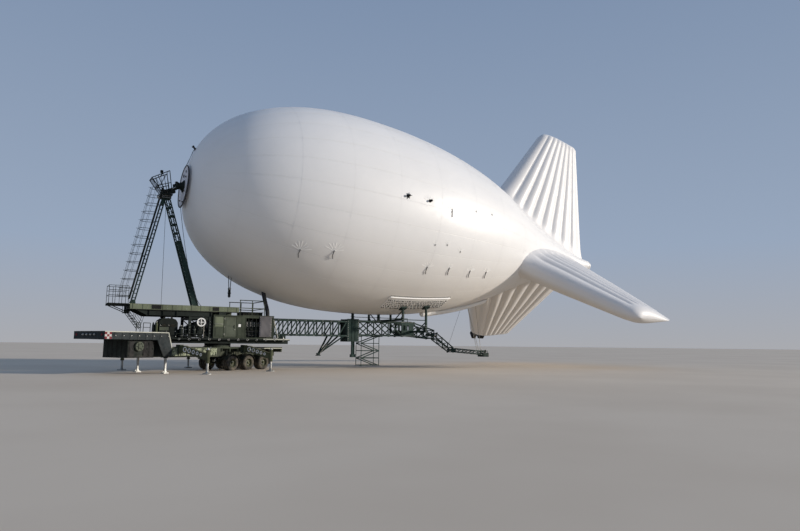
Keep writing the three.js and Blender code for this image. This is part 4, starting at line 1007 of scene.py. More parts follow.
def panel(shape, x, face, z, side, thick=0.014, slot=0, bolts=0):
    """A plate with a raised middle on a side face; side is -1 for port and 1 for starboard."""
    edge = 0.05
    for low, high, inset in ((0.0, thick, 0.0), (thick, 2 * thick, edge)):
        shape.box((x[0] + inset, x[1] - inset), depth(face, side, high, low), (z[0] + inset, z[1] - inset), slot)
    for k in range(bolts):
        for level in (z[0] + 0.022, z[1] - 0.022):
            bolt(shape, (x[0] + (x[1] - x[0]) * (k + 0.5) / bolts, face + side * thick, level), (0, side, 0),
                 0.009, slot)


def louvres(shape, x, face, z, side, count, slot=0):
    """Slanting slats in a frame on a side face."""
    for bar_x in (x[0], x[1] - 0.025):
        shape.box((bar_x, bar_x + 0.025), depth(face, side, 0.03), z, slot)
    pitch = (z[1] - z[0]) / count
    for k in range(count):
        low = z[0] + k * pitch
        outline = [(x[0], face, low), (x[0], face + side * 0.032, low), (x[0], face, low + 0.8 * pitch)]
        shape.prism(outline, (x[1] - x[0], 0, 0), slot)


def rail(shape, points, radius=0.017, slot=0):
    """Straight lengths of tube from point to point."""
    for a, b in zip(points, points[1:]):
        shape.rod(a, b, radius, 8, slot)


# ---------------------------------------------------------------- mast

MAST_HEAD = 9.6185
LADDER_FOOT = -2.444
LEAN = (-1.13 - LADDER_FOOT) / (MAST_HEAD - FRAME_TOP)


def leg_point(foot, head, half, share, side, y):
    deep = side * (half[0] + (half[1] - half[0]) * share)
    return Vector((foot[0] + (head[0] - foot[0]) * share + deep, y, foot[1] + (head[1] - foot[1]) * share))


def make_front_leg():
    """Lattice leg: four corner bars, close rungs on both sides and zigzags in front and behind."""
    foot, head, half = (LADDER_FOOT, FRAME_TOP), (-1.13, MAST_HEAD), (0.085, 0.075)
    wide, rungs, bays = 0.11, 25, 14
    leg = Shape()

    def at(share, side, y):
        return leg_point(foot, head, half, share, side, y)

    for y in (-wide, wide):
        for side in (-1, 1):
            leg.bar(at(0, side, y), at(1, side, y), 0.05, 0.045)
        for k in range(rungs):
            share = (k + 0.6) / (rungs + 0.2)
            leg.rod(at(share, -1, y), at(share, 1, y), 0.014, 6)
    for side in (-1, 1):
        for k in range(bays):
            turn = wide if k % 2 else -wide
            leg.bar(at(k / bays, side, -turn), at((k + 1) / bays, side, turn), 0.022)
            leg.bar(at(k / bays, side, -wide), at(k / bays, side, wide), 0.024)
    leg.box((foot[0] - 0.185, foot[0] + 0.185), (-0.21, 0.21), (FRAME_TOP, FRAME_TOP + 0.04))
    for x, y in product((-0.15, 0.15), (-0.17, 0.17)):
        bolt(leg, (foot[0] + x, y, FRAME_TOP + 0.04), UP, 0.024, 1)
    for y in (-wide - 0.03, wide + 0.018):
        leg.prism([(foot[0] - 0.16, y, FRAME_TOP + 0.03), (foot[0] + 0.18, y, FRAME_TOP + 0.03),
                   at(0.045, 1, y), at(0.045, -1, y)], (0, 0.012, 0))
        leg.prism([at(0.94, -1.1, y), at(0.94, 1.1, y), at(1, 1.1, y), at(1, -1.1, y)], (0, 0.012, 0))
    leg.rod(at(0.02, -1.2, wide + 0.05), at(0.98, -1.2, wide + 0.05), 0.012, 6, 2)
    leg.piece("mast_front_lattice", "boom steel hose", "boom_paint", ["mast_front_leg"], 0.003)


def make_rear_leg():
    """Lips, lacing, cable and bolts on the plated rear leg."""
    foot, head, half, wide, plated = (0.885, FRAME_TOP), (-0.95, MAST_HEAD), (0.15, 0.12), 0.22, 0.6
    leg = Shape()

    def at(share, side, y):
        return leg_point(foot, head, half, share, side, y)

    for y in (-wide - 0.012, wide + 0.012):
        for side in (-1, 1):
            leg.bar(at(0.01, side, y), at(0.99, side, y), 0.03, 0.05)
        for k in range(9):
            share = 0.03 + k * (plated - 0.04) / 8
            leg.bar(at(share, -0.95, y), at(share, 0.95, y), 0.016, 0.03)
        for k in range(11):
            share = plated + 0.01 + k * (0.38 / 10)
            leg.bar(at(share, -0.95, y), at(share, 0.95, y), 0.014, 0.018)
        for side in (-0.95, 0.95):
            for k in range(18):
                spot = at(0.02 + k * 0.034, side, y + copysign(0.015, y))
                bolt(leg, spot, (0, copysign(1, y), 0), 0.011, 1)
    for side in (-1, 1):
        for k in range(16):
            turn = wide if k % 2 else -wide
            leg.bar(at(0.02 + k * 0.06, side, -turn), at(0.02 + (k + 1) * 0.06, side, turn), 0.028, 0.02)
    for x, y in product((-0.19, 0.19), (-0.26, 0.0, 0.26)):
        bolt(leg, (foot[0] + x, y, FRAME_TOP + 0.04), UP, 0.026, 1)
    cable = [at(0.01 + k * 0.049, 1.12, -0.1 + 0.01 * sin(k)) for k in range(21)]
    leg.tube(cable, 0.016, 6, 2)
    for k in range(10):
        leg.bar(at(0.03 + k * 0.1, 1.0, -0.13), at(0.03 + k * 0.1, 1.17, -0.07), 0.03)
    leg.piece("mast_rear_lacing", "boom steel hose", "boom_paint", bevel=0.002)


def make_ladder():
    """Climbing ladder in a cage of round hoops with short outward ticks."""
    low, high, near, half = 3.858, 10.305, 0.225, 0.225
    ladder = Shape()

    def at(out, y, z):
        return Vector((LADDER_FOOT - out + LEAN * (z - FRAME_TOP), y, z))

    for y in (-half, half):
        ladder.bar(at(near, y, low), at(near, y, high), 0.03, 0.055)
    for k in range(21):
        z = low + 0.18 + 0.3 * k
        ladder.rod(at(near, -half, z), at(near, half, z), 0.013, 6)
    turns = [radians(-130 + 13 * k) for k in range(21)]
    hoops = 14
    for i in range(hoops):
        z = low + 0.14 + (high - low - 0.28) * i / (hoops - 1)
        ring = [at(0.47 + 0.38 * cos(turn), 0.37 * sin(turn), z) for turn in turns]
        ladder.tube([at(near, -half, z)] + ring + [at(near, half, z)], 0.014, 6)
        for turn in (0.0, radians(-55), radians(55)):
            foot = at(0.47 + 0.38 * cos(turn), 0.37 * sin(turn), z)
            ladder.rod(foot, foot + Vector((-0.1 * cos(turn), 0.1 * sin(turn), 0.01)), 0.01, 5)
    for turn in (-80, -40, 0, 40, 80):
        turn = radians(turn)
        ends = [at(0.47 + 0.38 * cos(turn), 0.37 * sin(turn), z) for z in (low + 0.13, high - 0.13)]
        ladder.bar(*ends, 0.028, 0.012)
    for k in range(6):
        z = low + 0.45 + k * 0.98
        for y in (-0.11, 0.11):
            ladder.bar(at(0.08, y, z), at(near, copysign(half, y), z), 0.02, 0.03)
    ladder.piece("ladder_cage", "dark", "dark_paint", ["mast_ladder"], 0.002)


def make_head():
    """Rods, grating, bolts, pulley and lamp cage on the mast head."""
    head = Shape()
    for y in (-0.407, 0.407):
        for ax, az, bx, bz in (
            (-1.17, 9.85, -1.72, 10.76), (-0.99, 9.85, -1.3, 10.99), (-0.87, 9.85, -1.12, 11.09),
            (-1.87, 10.66, -1.72, 10.44), (-1.4, 10.31, -1.04, 11.12),
        ):
            head.rod((ax, y, az), (bx, y, bz), 0.012, 6)
    for y in (-0.27, -0.135, 0.0, 0.135, 0.27):
        head.rod((-1.24, y, 9.85), (-1.872, y, 10.667), 0.01, 6)
    for k in range(12):
        head.bar((-1.27 + k * 0.049, -0.41, 9.858), (-1.27 + k * 0.049, 0.41, 9.858), 0.008, 0.02)
    for x in (-1.25, -0.81):
        bolt_row(head, (x, -0.24, 9.8), (x, 0.24, 9.8), 5, (-1 if x < -1 else 1, 0, 0), 0.016, 1)
    for y, side in ((-0.27, -1), (0.27, 1)):
        bolt_row(head, (-1.26, y, 9.66), (-0.8, y, 9.66), 7, (0, side, 0), 0.016, 1)
        bolt_row(head, (-1.26, y, 9.76), (-0.8, y, 9.76), 7, (0, side, 0), 0.016, 1)
    head.turned((-1.36, -0.05, 9.72), (0, 1, 0), [
        (0, 0), (0, 0.13), (0.02, 0.14), (0.05, 0.1), (0.08, 0.14), (0.1, 0.13), (0.1, 0)], 20, 1)
    for y in (-0.07, 0.055):
        head.prism([(-1.29, y, 9.8), (-1.29, y, 9.64), (-1.4, y, 9.7), (-1.4, y, 9.75)], (0, 0.015, 0))
    for x, y, z in circle((-1.319, 0, 11.1), 0.078, 6, "xy"):
        head.rod((x, y, z), (x, y, z + 0.135), 0.005, 5)
    head.piece("mast_head_fittings", "dark steel", "dark_paint", bevel=0.002)


def make_lock():
    """Clamp, side plates, cylinders and hoses on the mooring lock."""
    lock = Shape()
    nose = (-0.335, 10.475)
    lock.turned((nose[0] - 0.1, 0, nose[1] - 0.012), (-1, 0, 0.075), [
        (0, 0.2), (0, 0.24), (0.03, 0.25), (0.09, 0.25), (0.12, 0.24), (0.12, 0.2)], 28)
    for spot in circle((nose[0] - 0.22, 0, nose[1]), 0.222, 8, "yz", pi / 8):
        bolt(lock, spot, (-1, 0, 0.075), 0.018, 1)
    for y in (-0.155, 0.125):
        outline = ((-1.15, 9.86), (-0.88, 9.86), (-0.74, 10.02), (-0.5, 10.22), (-0.52, 10.36), (-0.8, 10.26),
                   (-1.12, 10.12))
        lock.prism([(x, y, z) for x, z in outline], (0, 0.03, 0))
        lock.plug((-1.02, y - 0.02, 10.03), (0, 1, 0), 0.07, 0.06, 14, 1)
    for side in (-1, 1):
        a, b = Vector((-1.16, side * 0.21, 9.93)), Vector((-0.52, side * 0.21, 10.36))
        lock.tube([a, between(a, b, 0.6)], 0.045, 12)
        lock.tube([between(a, b, 0.6), b], 0.024, 10, 1)
        lock.plug(a - Vector((0, 0.03, 0)), (0, 1, 0), 0.06, 0.055, 12)
        lock.plug(b - Vector((0, 0.03, 0)), (0, 1, 0), 0.06, 0.05, 12)
        hose = [(-1.12, side * 0.24, 9.97), (-1.0, side * 0.28, 10.13), (-0.84, side * 0.27, 10.21),
                (-0.72, side * 0.24, 10.27)]
        lock.tube(hose, 0.012, 6, 2)
    lock.piece("lock_fittings", "dark steel hose", "dark_paint", bevel=0.003)


# ---------------------------------------------------------------- raised frame and winch deck

def make_frame_fittings():
    """Flanges, stiffeners, bolts, pipes and panels on the raised frame."""
    trim = Shape()
    for side in (-1, 1):
        y = depth(0, side, 1.18, DECK_SIDE)
        # The upper side face and its flanges take the pale olive: painted sunlight, against the dark paint of
        # the web below.
        for z in ((3.29, 3.308), (3.56, 3.576)):
            trim.box((-2.667, 3.103), y, z, 4)
        trim.box((-2.667, 3.103), depth(0, side, 1.169, DECK_SIDE), (3.308, 3.56), 4)
        for k in range(12):
            x = -2.55 + k * 0.5
            trim.box((x, x + 0.014), y, (3.308, 3.56))
            bolt(trim, (x + 0.25, side * DECK_SIDE, 3.36), (0, side, 0), 0.016, 2)
            bolt(trim, (x + 0.25, side * DECK_SIDE, 3.51), (0, side, 0), 0.016, 2)
        web = side * 1.047
        for x, z in ((-1.7, 3.0), (-1.0, 2.995), (-0.3, 2.995), (1.55, 2.995)):
            trim.box((x, x + 0.016), depth(web, side, 0.06), (z, 3.3))
        trim.box((-1.79, 1.62), depth(web, side, 0.06), (2.987, 3.003))
        for k in range(2):
            pipe = [(-2.4, side * (1.08 + 0.05 * k), 3.272), (3.0, side * (1.08 + 0.05 * k), 3.272)]
            trim.tube(pipe, 0.015, 6, 3)
        for k in range(9):
            trim.box((-2.2 + k * 0.6, -2.17 + k * 0.6), depth(0, side, 1.15, 1.05), (3.252, 3.298))
    trim.box((-1.58, -1.11), (-1.19, -DECK_SIDE), (3.33, 3.535), 1)
    trim.box((1.62, 1.96), (-1.186, -DECK_SIDE), (3.33, 3.535), 1)
    trim.piece("frame_fittings", "dark black steel hose pale_green", "green_paint", bevel=0.002)


def make_walkway():
    """Grating, kick plates, rails and braces of the front walkway."""
    walk = Shape()
    walk.box((-3.685, -2.668), (-0.6, 0.6), (3.505, 3.545))
    for y in (-0.58, 0.58):
        for x in (-3.655, -2.7):
            walk.rod((x, y, 3.52), (x, y, 4.54), 0.014, 6)
        for z in (4.02, 4.54):
            walk.rod((-3.655, y, z), (-2.7, y, z), 0.013, 6)
    for z in (4.02, 4.54):
        walk.rod((-3.655, -0.58, z), (-3.655, 0.58, z), 0.013, 6)
    for k in range(24):
        x = -3.67 + k * 0.042
        walk.bar((x, -0.575, 3.552), (x, 0.575, 3.552), 0.006, 0.014)
    for y in (-0.6, 0.588):
        walk.box((-3.685, -2.68), (y, y + 0.012), (3.49, 3.6))
    walk.box((-3.685, -3.673), (-0.6, 0.6), (3.49, 3.6))
    for y in (-0.58, 0.58):
        for x in (-3.35, -3.02):
            walk.rod((x, y, 3.54), (x, y, 4.54), 0.013, 6)
        rail(walk, [(-3.66, y, 4.29), (-2.7, y, 4.29)], 0.013)
        walk.bar((-3.55, y * 0.9, 3.49), (-2.62, y * 0.9, 3.1), 0.04)
    for k in range(5):
        walk.rod((-2.95 + 0.085 * k, -0.5, 3.07), (-2.95 + 0.085 * k, -0.5, 3.495), 0.012, 6)
    rail(walk, [(-2.96, -0.5, 3.08), (-2.6, -0.5, 3.08)], 0.014)
    walk.piece("walkway_lattice", "dark", "dark_paint", ["front_walkway"])


def make_stair():
    """Laced stringers, treads and handrails of the front stair."""
    stair = Shape()
    top, foot = Vector((-2.676, 0, 3.18)), Vector((-2.0, 0, 2.29))
    normal = (foot - top).cross(Vector((0, 1, 0))).normalized()
    for y in (-0.4, 0.4):
        level = Vector((0, y, 0))
        for off in (-0.075, 0.075):
            stair.bar(top + level + normal * off, foot + level + normal * off, 0.026)
        for k in range(9):
            spot = between(top, foot, 0.04 + k * 0.115) + level
            stair.rod(spot - normal * 0.075, spot + normal * 0.075, 0.009, 6)
        stair.box((-2.76, -2.6), (y - 0.02, y + 0.02), (3.1, 3.29))
        hand = Vector((0.16, copysign(0.02, y), 0.62))
        for share in (0.05, 0.5, 0.97):
            spot = between(top, foot, share) + level
            stair.rod(spot, spot + hand, 0.011, 6)
        stair.rod(top + level + hand, foot + level + hand, 0.013, 6)
        stair.rod(top + level + hand * 0.55, foot + level + hand * 0.55, 0.01, 6)
    for k in range(6):
        x, z = between(top, foot, 0.08 + 0.168 * k).xz
        stair.box((x - 0.09, x + 0.09), (-0.4, 0.4), (z - 0.012, z + 0.006))
    stair.piece("stair_lattice", "dark", "dark_paint", ["front_stair"])


def make_deck_fittings():
    """Floor plates, pale edge strip, toe rail, lashing rings and lamps on the turning deck."""
    deck = Shape()
    for x in ((-1.34, -0.2), (-0.17, 1.6), (5.2, 6.19)):
        for y in ((-1.15, -0.39), (-0.37, 0.37), (0.39, 1.15)):
            deck.box(x, y, (1.804, 1.8085))
    for side in (-1, 1):
        edge = depth(0, side, 1.174, DECK_SIDE)
        deck.box((-1.358, 4.6), edge, (1.724, 1.8))
        deck.box((4.6, 6.206), edge, (1.75, 1.81), 1)
        deck.box((4.6, 6.206), edge, (1.7, 1.748), 2)
        for k in range(14):
            x = -1.2 + 0.54 * k
            deck.tube(circle((x, side * 1.186, 1.735), 0.05, 10), 0.01, 6, 3, True)
        posts = (-0.27, 0.24, 0.76, 1.27)
        rail(deck, [(posts[0], side * 1.13, 2.03), (posts[-1], side * 1.13, 2.03)], 0.016, 2)
        for x in posts:
            deck.rod((x, side * 1.13, 1.8), (x, side * 1.13, 2.03), 0.014, 6, 2)
    deck.box((6.206, 6.216), (-DECK_SIDE, DECK_SIDE), (1.724, 1.8))
    for y in (-1.0, 1.0):
        deck.turned((6.216, y, 1.76), (1, 0, 0), [
            (0, 0), (0, 0.045), (0.03, 0.045), (0.045, 0.03), (0.05, 0)], 16, 2)
    for x, y in product((5.55, 5.95), (-0.75, 0.75)):
        deck.turned((x, y, 1.808), UP, [
            (0, 0), (0, 0.07), (0.02, 0.07), (0.03, 0.035), (0.13, 0.035), (0.15, 0.06), (0.165, 0)], 12, 3)
    deck.piece("deck_fittings", "dark deck_trim dark steel", "green_paint", bevel=0.0015)


def make_power_unit():
    """Doors, louvres, grille, exhaust and lifting eyes on the power unit."""
    unit = Shape()
    for side, face in ((-1, -0.824), (1, 0.436)):
        for x in ((-1.06, -0.66), (-0.62, -0.2)):
            panel(unit, x, face, (1.93, 2.56), side, 0.01, 0, 4)
            louvres(unit, (x[0] + 0.07, x[1] - 0.07), face + side * 0.02, (2.41, 2.53), side, 5)
            unit.box((x[1] - 0.09, x[1] - 0.05), depth(face, side, 0.05, 0.02), (2.14, 2.17), 1)
            hinge_x, hinge_y = x[0] + 0.004, face + side * 0.02
            for z in (2.02, 2.44):
                unit.rod((hinge_x, hinge_y, z), (hinge_x, hinge_y, z + 0.06), 0.011, 6, 1)
        unit.box((-1.1, -0.16), depth(face, side, 0.03), (1.808, 1.87))
    unit.box((-1.1, -0.62), (-0.852, -0.844), (2.2, 2.38), 2)
    for k in range(16):
        y = -0.74 + 0.07 * k
        unit.box((-1.14, -1.115), (y, y + 0.02), (2.0, 2.52))
    for z in ((1.97, 2.0), (2.52, 2.55)):
        unit.box((-1.145, -1.115), (-0.77, 0.36), z)
    stack = [(-0.42, -0.45, 2.84), (-0.42, -0.45, 3.08), (-0.42, -0.5, 3.16), (-0.42, -0.6, 3.19)]
    unit.tube(stack, 0.045, 12, 1)
    unit.turned((-0.42, -0.45, 2.83), UP, [(0, 0), (0, 0.085), (0.02, 0.085), (0.03, 0.05), (0.03, 0)], 14, 1)
    unit.turned((-0.8, 0.05, 2.85), UP, [
        (0, 0), (0, 0.1), (0.05, 0.1), (0.06, 0.14), (0.11, 0.14), (0.14, 0.1), (0.15, 0)], 18)
    for x, y in product((-0.86, -0.46), (-0.72, 0.34)):
        unit.tube(circle((x, y, 2.865), 0.05, 10), 0.011, 6, 1, True)
    unit.piece("power_unit_fittings", "dark steel panel", "dark_paint", bevel=0.002)


def make_tanks():
    """Tanks with their bands, and the cable reel, on the deck."""
    gear = Shape()
    dome = [(0, 0), (0, 1.0), (0.9, 1.0), (0.96, 0.86), (0.99, 0.55), (1.0, 0)]
    for x, y, low, high, radius, slot in (
        (0.02, -0.93, 1.806, 2.45, 0.115, 0), (0.255, -0.9, 1.806, 2.4, 0.1, 0),
        (0.7, -0.99, 1.92, 2.4, 0.085, 0), (0.02, 0.93, 1.806, 2.35, 0.115, 0),
        (0.255, 0.9, 1.806, 2.3, 0.1, 0), (-1.25, -0.86, 1.806, 2.62, 0.06, 1),
    ):
        gear.turned((x, y, low), UP, [(d * (high - low), r * radius) for d, r in dome], 18, slot)
        gear.turned((x, y, high), UP, [(-0.01, 0), (-0.01, 0.03), (0.04, 0.03), (0.045, 0)], 10, 2)
        for z in (low + 0.12, high - 0.14):
            gear.tube(circle((x, y, z), radius + 0.004, 16, "xy"), 0.008, 5, 2, True)
    gear.turned((-1.335, -0.25, 2.28), (1, 0, 0), [
        (0, 0), (0, 0.36), (0.012, 0.37), (0.02, 0.36), (0.024, 0.2), (0.12, 0.2), (0.124, 0.36), (0.14, 0.37),
        (0.15, 0)], 26)
    for y in (-0.5, 0.0):
        gear.bar((-1.26, y, 1.806), (-1.26, -0.25, 2.28), 0.05, 0.03)
    gear.tube([(-1.3 + 0.09 * j / 120, -0.25 + 0.225 * cos(pi * j / 12),
                2.28 + 0.225 * sin(pi * j / 12)) for j in range(120)], 0.013, 5, 3)
    gear.piece("deck_tanks", "dark olive steel hose", "dark_paint", bevel=0.002)


def make_winch():
    """Wound rope, ribs and bolts on the winch drum."""
    drum = Shape()
    x, z, half = DRUM_X, DRUM_Z, 0.813
    turns = 58
    outline = [(0, 0.25)]
    for k in range(turns):
        at = 2 * half * k / turns
        step = 2 * half / turns
        outline += [(at + 0.15 * step, 0.292), (at + 0.5 * step, 0.302), (at + 0.85 * step, 0.292),
                    (at + step, 0.283)]
    outline.append((2 * half, 0.25))
    drum.turned((x, -half, z), (0, 1, 0), outline, 28)
    for side in (-1, 1):
        face = side * 0.873
        middle = (x, face + side * 0.012, z)
        for a, b, spot in zip(circle(middle, 0.07, 8), circle(middle, 0.37, 8),
                              circle((x, face, z), 0.3, 8, "xz", 0.39)):
            drum.bar(a, b, 0.024, 0.024, 1)
            bolt(drum, spot, (0, side, 0), 0.018, 2)
        drum.tube(circle((x, face + side * 0.01, z), 0.375, 32), 0.012, 6, 1, True)
    drum.piece("drum_rope", "dark_rope dark steel", "hose", body="winch_drum")


def make_sheave():
    """Cross, bolts and white rim on the tether sheave."""
    wheel = Shape()
    centre = Vector((DRUM_X, -1.222, 2.676))
    for angle in (pi / 4, 3 * pi / 4):
        arm = Vector((cos(angle), 0, sin(angle))) * 0.17
        wheel.bar(centre - arm + Vector((0, -0.028, 0)), centre + arm + Vector((0, -0.028, 0)), 0.012, 0.05)
    for spot in circle(centre + Vector((0, -0.034, 0)), 0.1, 4, "xz", pi / 4):
        bolt(wheel, spot, (0, -1, 0), 0.014, 1)
    wheel.tube(circle(centre + Vector((0, -0.046, 0)), 0.232, 36), 0.01, 6, 2, True)
    wheel.piece("sheave_cross", "black steel white", "dark_paint", body="tether_sheave")


def make_tower():
    """Foot plates, bearings, braces and bolts on the winch tower, and the tether's free end."""
    tower = Shape()
    for y in (-1.008, 1.008):
        side = copysign(1, y)
        for post in (0.436, 1.532):
            tower.box((post - 0.12, post + 0.12), (y - 0.12, y + 0.12), (1.8045, 1.822))
            for dx, dy in product((-0.095, 0.095), (-0.095, 0.095)):
                bolt(tower, (post + dx, y + dy, 1.822), UP, 0.016, 1)
            bolt_row(tower, (post, y + side * 0.07, 2.0), (post, y + side * 0.07, 2.8), 5, (0, side, 0),
                     0.014, 1)
        tower.turned((DRUM_X, y + side * 0.03, DRUM_Z), (0, side, 0), [
            (0, 0), (0, 0.12), (0.03, 0.12), (0.04, 0.085), (0.075, 0.08), (0.08, 0)], 20)
        for spot in circle((DRUM_X, y + side * 0.06, DRUM_Z), 0.1, 6):
            bolt(tower, spot, (0, side, 0), 0.011, 1)
        tower.bar((0.47, y, 2.84), (0.84, y, 2.5), 0.05)
    tower.piece("tower_fittings", "dark steel", "dark_paint", bevel=0.002)
    free_rope("tether_end", [(1.165 + 0.0004 * k, -1.222 + 0.003 * k, 2.52 - 0.043 * k) for k in range(17)],
              0.012, "rope")


# ---------------------------------------------------------------- control house and equipment bay

def make_house():
    """Panels, frames, window and louvres of the control house."""
    house = Shape()
    for side in (-1, 1):
        face = side * DECK_SIDE
        panel(house, (1.78, 2.24), face, (1.9, 2.42), side, 0.012, 0, 4)
        panel(house, (1.78, 2.24), face, (2.46, 3.0), side, 0.012, 3, 4)
        panel(house, (3.03, 3.3), face, (1.9, 2.4), side, 0.012, 0, 3)
        for x in (1.697, 3.29):
            house.box((x, x + 0.055), depth(face, side, 0.012), (1.81, 3.1))
        house.box((1.68, 3.36), depth(face, side, 0.035), (3.072, 3.112))
        house.box((2.27, 3.02), depth(face, side, 0.05), (3.022, 3.04))
        for x in ((2.268, 2.302), (2.993, 3.026)):
            house.box(x, depth(face, side, 0.016), (1.86, 3.022))
        house.box((2.268, 3.026), depth(face, side, 0.016), (1.86, 1.895))
    house.box((3.1, 3.24), (-1.18, -DECK_SIDE), (2.46, 2.62), 2)
    rail(house, [(1.74, -DECK_SIDE, 2.6), (1.74, -1.215, 2.6), (2.22, -1.215, 2.6), (2.22, -DECK_SIDE, 2.6)],
         0.013, 1)
    panel(house, (2.33, 2.96), DECK_SIDE, (1.92, 2.42), 1, 0.012, 0, 4)
    louvres(house, (2.36, 2.93), DECK_SIDE, (2.5, 2.95), 1, 9)
    for y in ((-0.85, -0.05), (0.05, 0.85)):
        house.box((1.683, 1.697), y, (2.3, 2.9))
        house.box((1.68, 1.684), (y[0] + 0.06, y[1] - 0.06), (2.36, 2.84), 4)
        house.box((1.674, 1.697), y, (2.9, 2.93))
    house.piece("house_panels", "green steel white pale_green glass", "green_paint", bevel=0.002)


def make_door():
    """Panels, hinges and knob of the control house door."""
    door = Shape()
    face = -DECK_SIDE
    panel(door, (2.36, 2.935), face, (1.96, 2.44), -1, 0.01, 0, 4)
    panel(door, (2.36, 2.935), face, (2.48, 2.96), -1, 0.01, 0, 4)
    for z in (2.02, 2.46, 2.9):
        door.rod((2.314, face, z - 0.05), (2.314, face, z + 0.05), 0.01, 8, 1)
        door.box((2.347, 2.43), (face - 0.012, face), (z - 0.025, z + 0.025))
    door.turned((2.884, face - 0.03, 2.3), (0, -1, 0), [
        (-0.03, 0), (-0.03, 0.025), (0.02, 0.025), (0.02, 0)], 12, 1)
    door.piece("door_panels", "panel steel", "green_paint", bevel=0.002, body="control_door")


def make_bay():
    """Posts, bars, louvres and drip strips of the open bay."""
    bay = Shape()
    for x in (3.7, 3.92, 4.14):
        bay.rod((x, -1.13, 1.86), (x, -1.13, 2.98), 0.018, 8, 2)
    for z in (2.25, 2.62):
        rail(bay, [(3.55, -1.13, z), (4.36, -1.13, z)], 0.014, 2)
    for x, side in product((3.345, 5.13), (-1, 1)):
        bay.box((x, x + 0.058), depth(0, side, 1.178, DECK_SIDE), (1.81, 3.1))
    bay.box((3.54, 4.3), (-1.18, -DECK_SIDE), (2.975, 3.01))
    bay.box((3.5, 3.54), (-1.18, -DECK_SIDE), (1.86, 3.01))
    bay.box((3.34, 5.2), (-1.199, -DECK_SIDE), (3.105, 3.14))
    bay.box((3.34, 5.2), (DECK_SIDE, 1.199), (3.105, 3.14))
    for x in ((3.48, 4.22), (4.3, 5.04)):
        louvres(bay, x, DECK_SIDE, (2.1, 2.9), 1, 14)
    for k in range(12):
        z = 2.05 + 0.075 * k
        bay.box((5.188, 5.206), (-0.72, 0.72), (z, z + 0.03))
    for y in (-0.76, 0.72):
        bay.box((5.188, 5.212), (y, y + 0.04), (2.0, 2.98))
    bay.piece("bay_fittings", "green steel dark", "green_paint", bevel=0.002)


def make_generator():
    """Fillers, fins, pipes and cap on the generator in the bay."""
    engine = Shape()
    for k in range(5):
        x = 3.72 + 0.19 * k
        engine.turned((x, -0.853, 2.35), (0, -1, 0), [
            (0, 0), (0, 0.075), (0.05, 0.075), (0.07, 0.05), (0.09, 0)], 14)
    engine.box((3.62, 4.66), (-0.875, -0.853), (1.92, 2.16))
    for k in range(9):
        engine.box((3.66 + 0.11 * k, 3.7 + 0.11 * k), (-0.905, -0.853), (2.5, 2.76), 1)
    for pipe, radius in (
        ([(3.7, -0.93, 2.2), (4.05, -0.95, 2.22), (4.35, -0.93, 2.14), (4.55, -0.9, 2.0)], 0.028),
        ([(3.66, -0.95, 2.02), (3.95, -0.98, 1.98), (4.22, -0.95, 2.04), (4.42, -0.9, 1.95)], 0.022),
    ):
        engine.tube(pipe, radius, 8, 2)
    engine.turned((4.1, -0.3, 2.8), UP, [(0, 0), (0, 0.14), (0.06, 0.14), (0.1, 0.1), (0.12, 0)], 18, 1)
    engine.piece("generator_fittings", "dark steel hose", "dark_paint", bevel=0.003)


def make_roof_gear():
    """Cooler, dome, box and vent on the roofs."""
    roof = Shape()
    roof.box((3.52, 4.78), (-0.28, 0.7), (ROOF, 3.36))
    roof.box((3.48, 4.82), (-0.32, 0.74), (3.34, 3.372))
    for k in range(4):
        louvres(roof, (3.58 + 0.29 * k, 3.8 + 0.29 * k), -0.28, (3.15, 3.31), -1, 5)
    roof.turned((2.03, 0.0, 3.103), UP, [(0, 0), (0, 0.26), (0.2, 0.24), (0.24, 0.38), (0.32, 0.39),
                                         (0.44, 0.33), (0.52, 0.2), (0.545, 0)], 24, 1)
    roof.box((2.55, 2.82), (-0.66, -0.38), (ROOF, 3.44), 2)
    roof.turned((2.6, 0.35, 3.103), UP, [
        (0, 0), (0, 0.09), (0.03, 0.09), (0.03, 0.04), (0.42, 0.035), (0.44, 0)], 12)
    roof.piece("roof_gear", "dark olive panel", "green_paint", bevel=0.006)


def make_bay_cover():
    """Canvas that closes the rear part of the bay's mouth, laced round its edge."""
    x, z, face = (4.33, 5.05), (1.9, 3.13), -1.185

    def spot(u, v, sunk):
        edge = min(1, min(u, 1 - u) * 9) * min(1, min(v, 1 - v) * 12)
        swell = 0.02 * edge + 0.007 * edge * sin(9 * u + 5 * v) * sin(7 * v + 2 * u)
        return (x[0] + (x[1] - x[0]) * u, face - swell + sunk, z[0] + (z[1] - z[0]) * v)

    front, back = ([[spot(k / 24, i / 36, sunk) for k in range(25)] for i in range(37)]
                   for sunk in (0.0, 0.003))
    cover = Shape().sheet(front, back)
    made = cover.piece("bay_cover", "grey", "dark_paint", welded=True)
    ties = Shape()
    for k in range(9):
        level = z[0] + 0.06 + k * 0.138
        for edge in x:
            ties.turned((edge + (0.03 if edge < 4.5 else -0.03), face - 0.004, level), (0, -1, 0),
                        [(0, 0), (0, 0.016), (0.006, 0.016), (0.008, 0)], 10)
    ties.piece("bay_cover_eyelets", "steel", "steel")


# ---------------------------------------------------------------- boom

def truss_fittings(shape, x, low, high, bays, face, size=0.11):
    """Gussets with two bolts each at the joints of a truss, on both of its outer faces."""
    for bay in range(bays + 1):
        share = bay / bays
        at = x[0] + (x[1] - x[0]) * share
        at = min(max(at, x[0] + size / 2), x[1] - size / 2)
        for level in (low, high):
            z = level[0] + (level[1] - level[0]) * share
            for side in (-1, 1):
                y = depth(0, side, face + 0.008, face)
                shape.box((at - size / 2, at + size / 2), y, (z - size / 2, z + size / 2))
                for dx in (-0.3, 0.3):
                    bolt(shape, (at + dx * size, side * (face + 0.008), z), (0, side, 0), 0.012, 1)


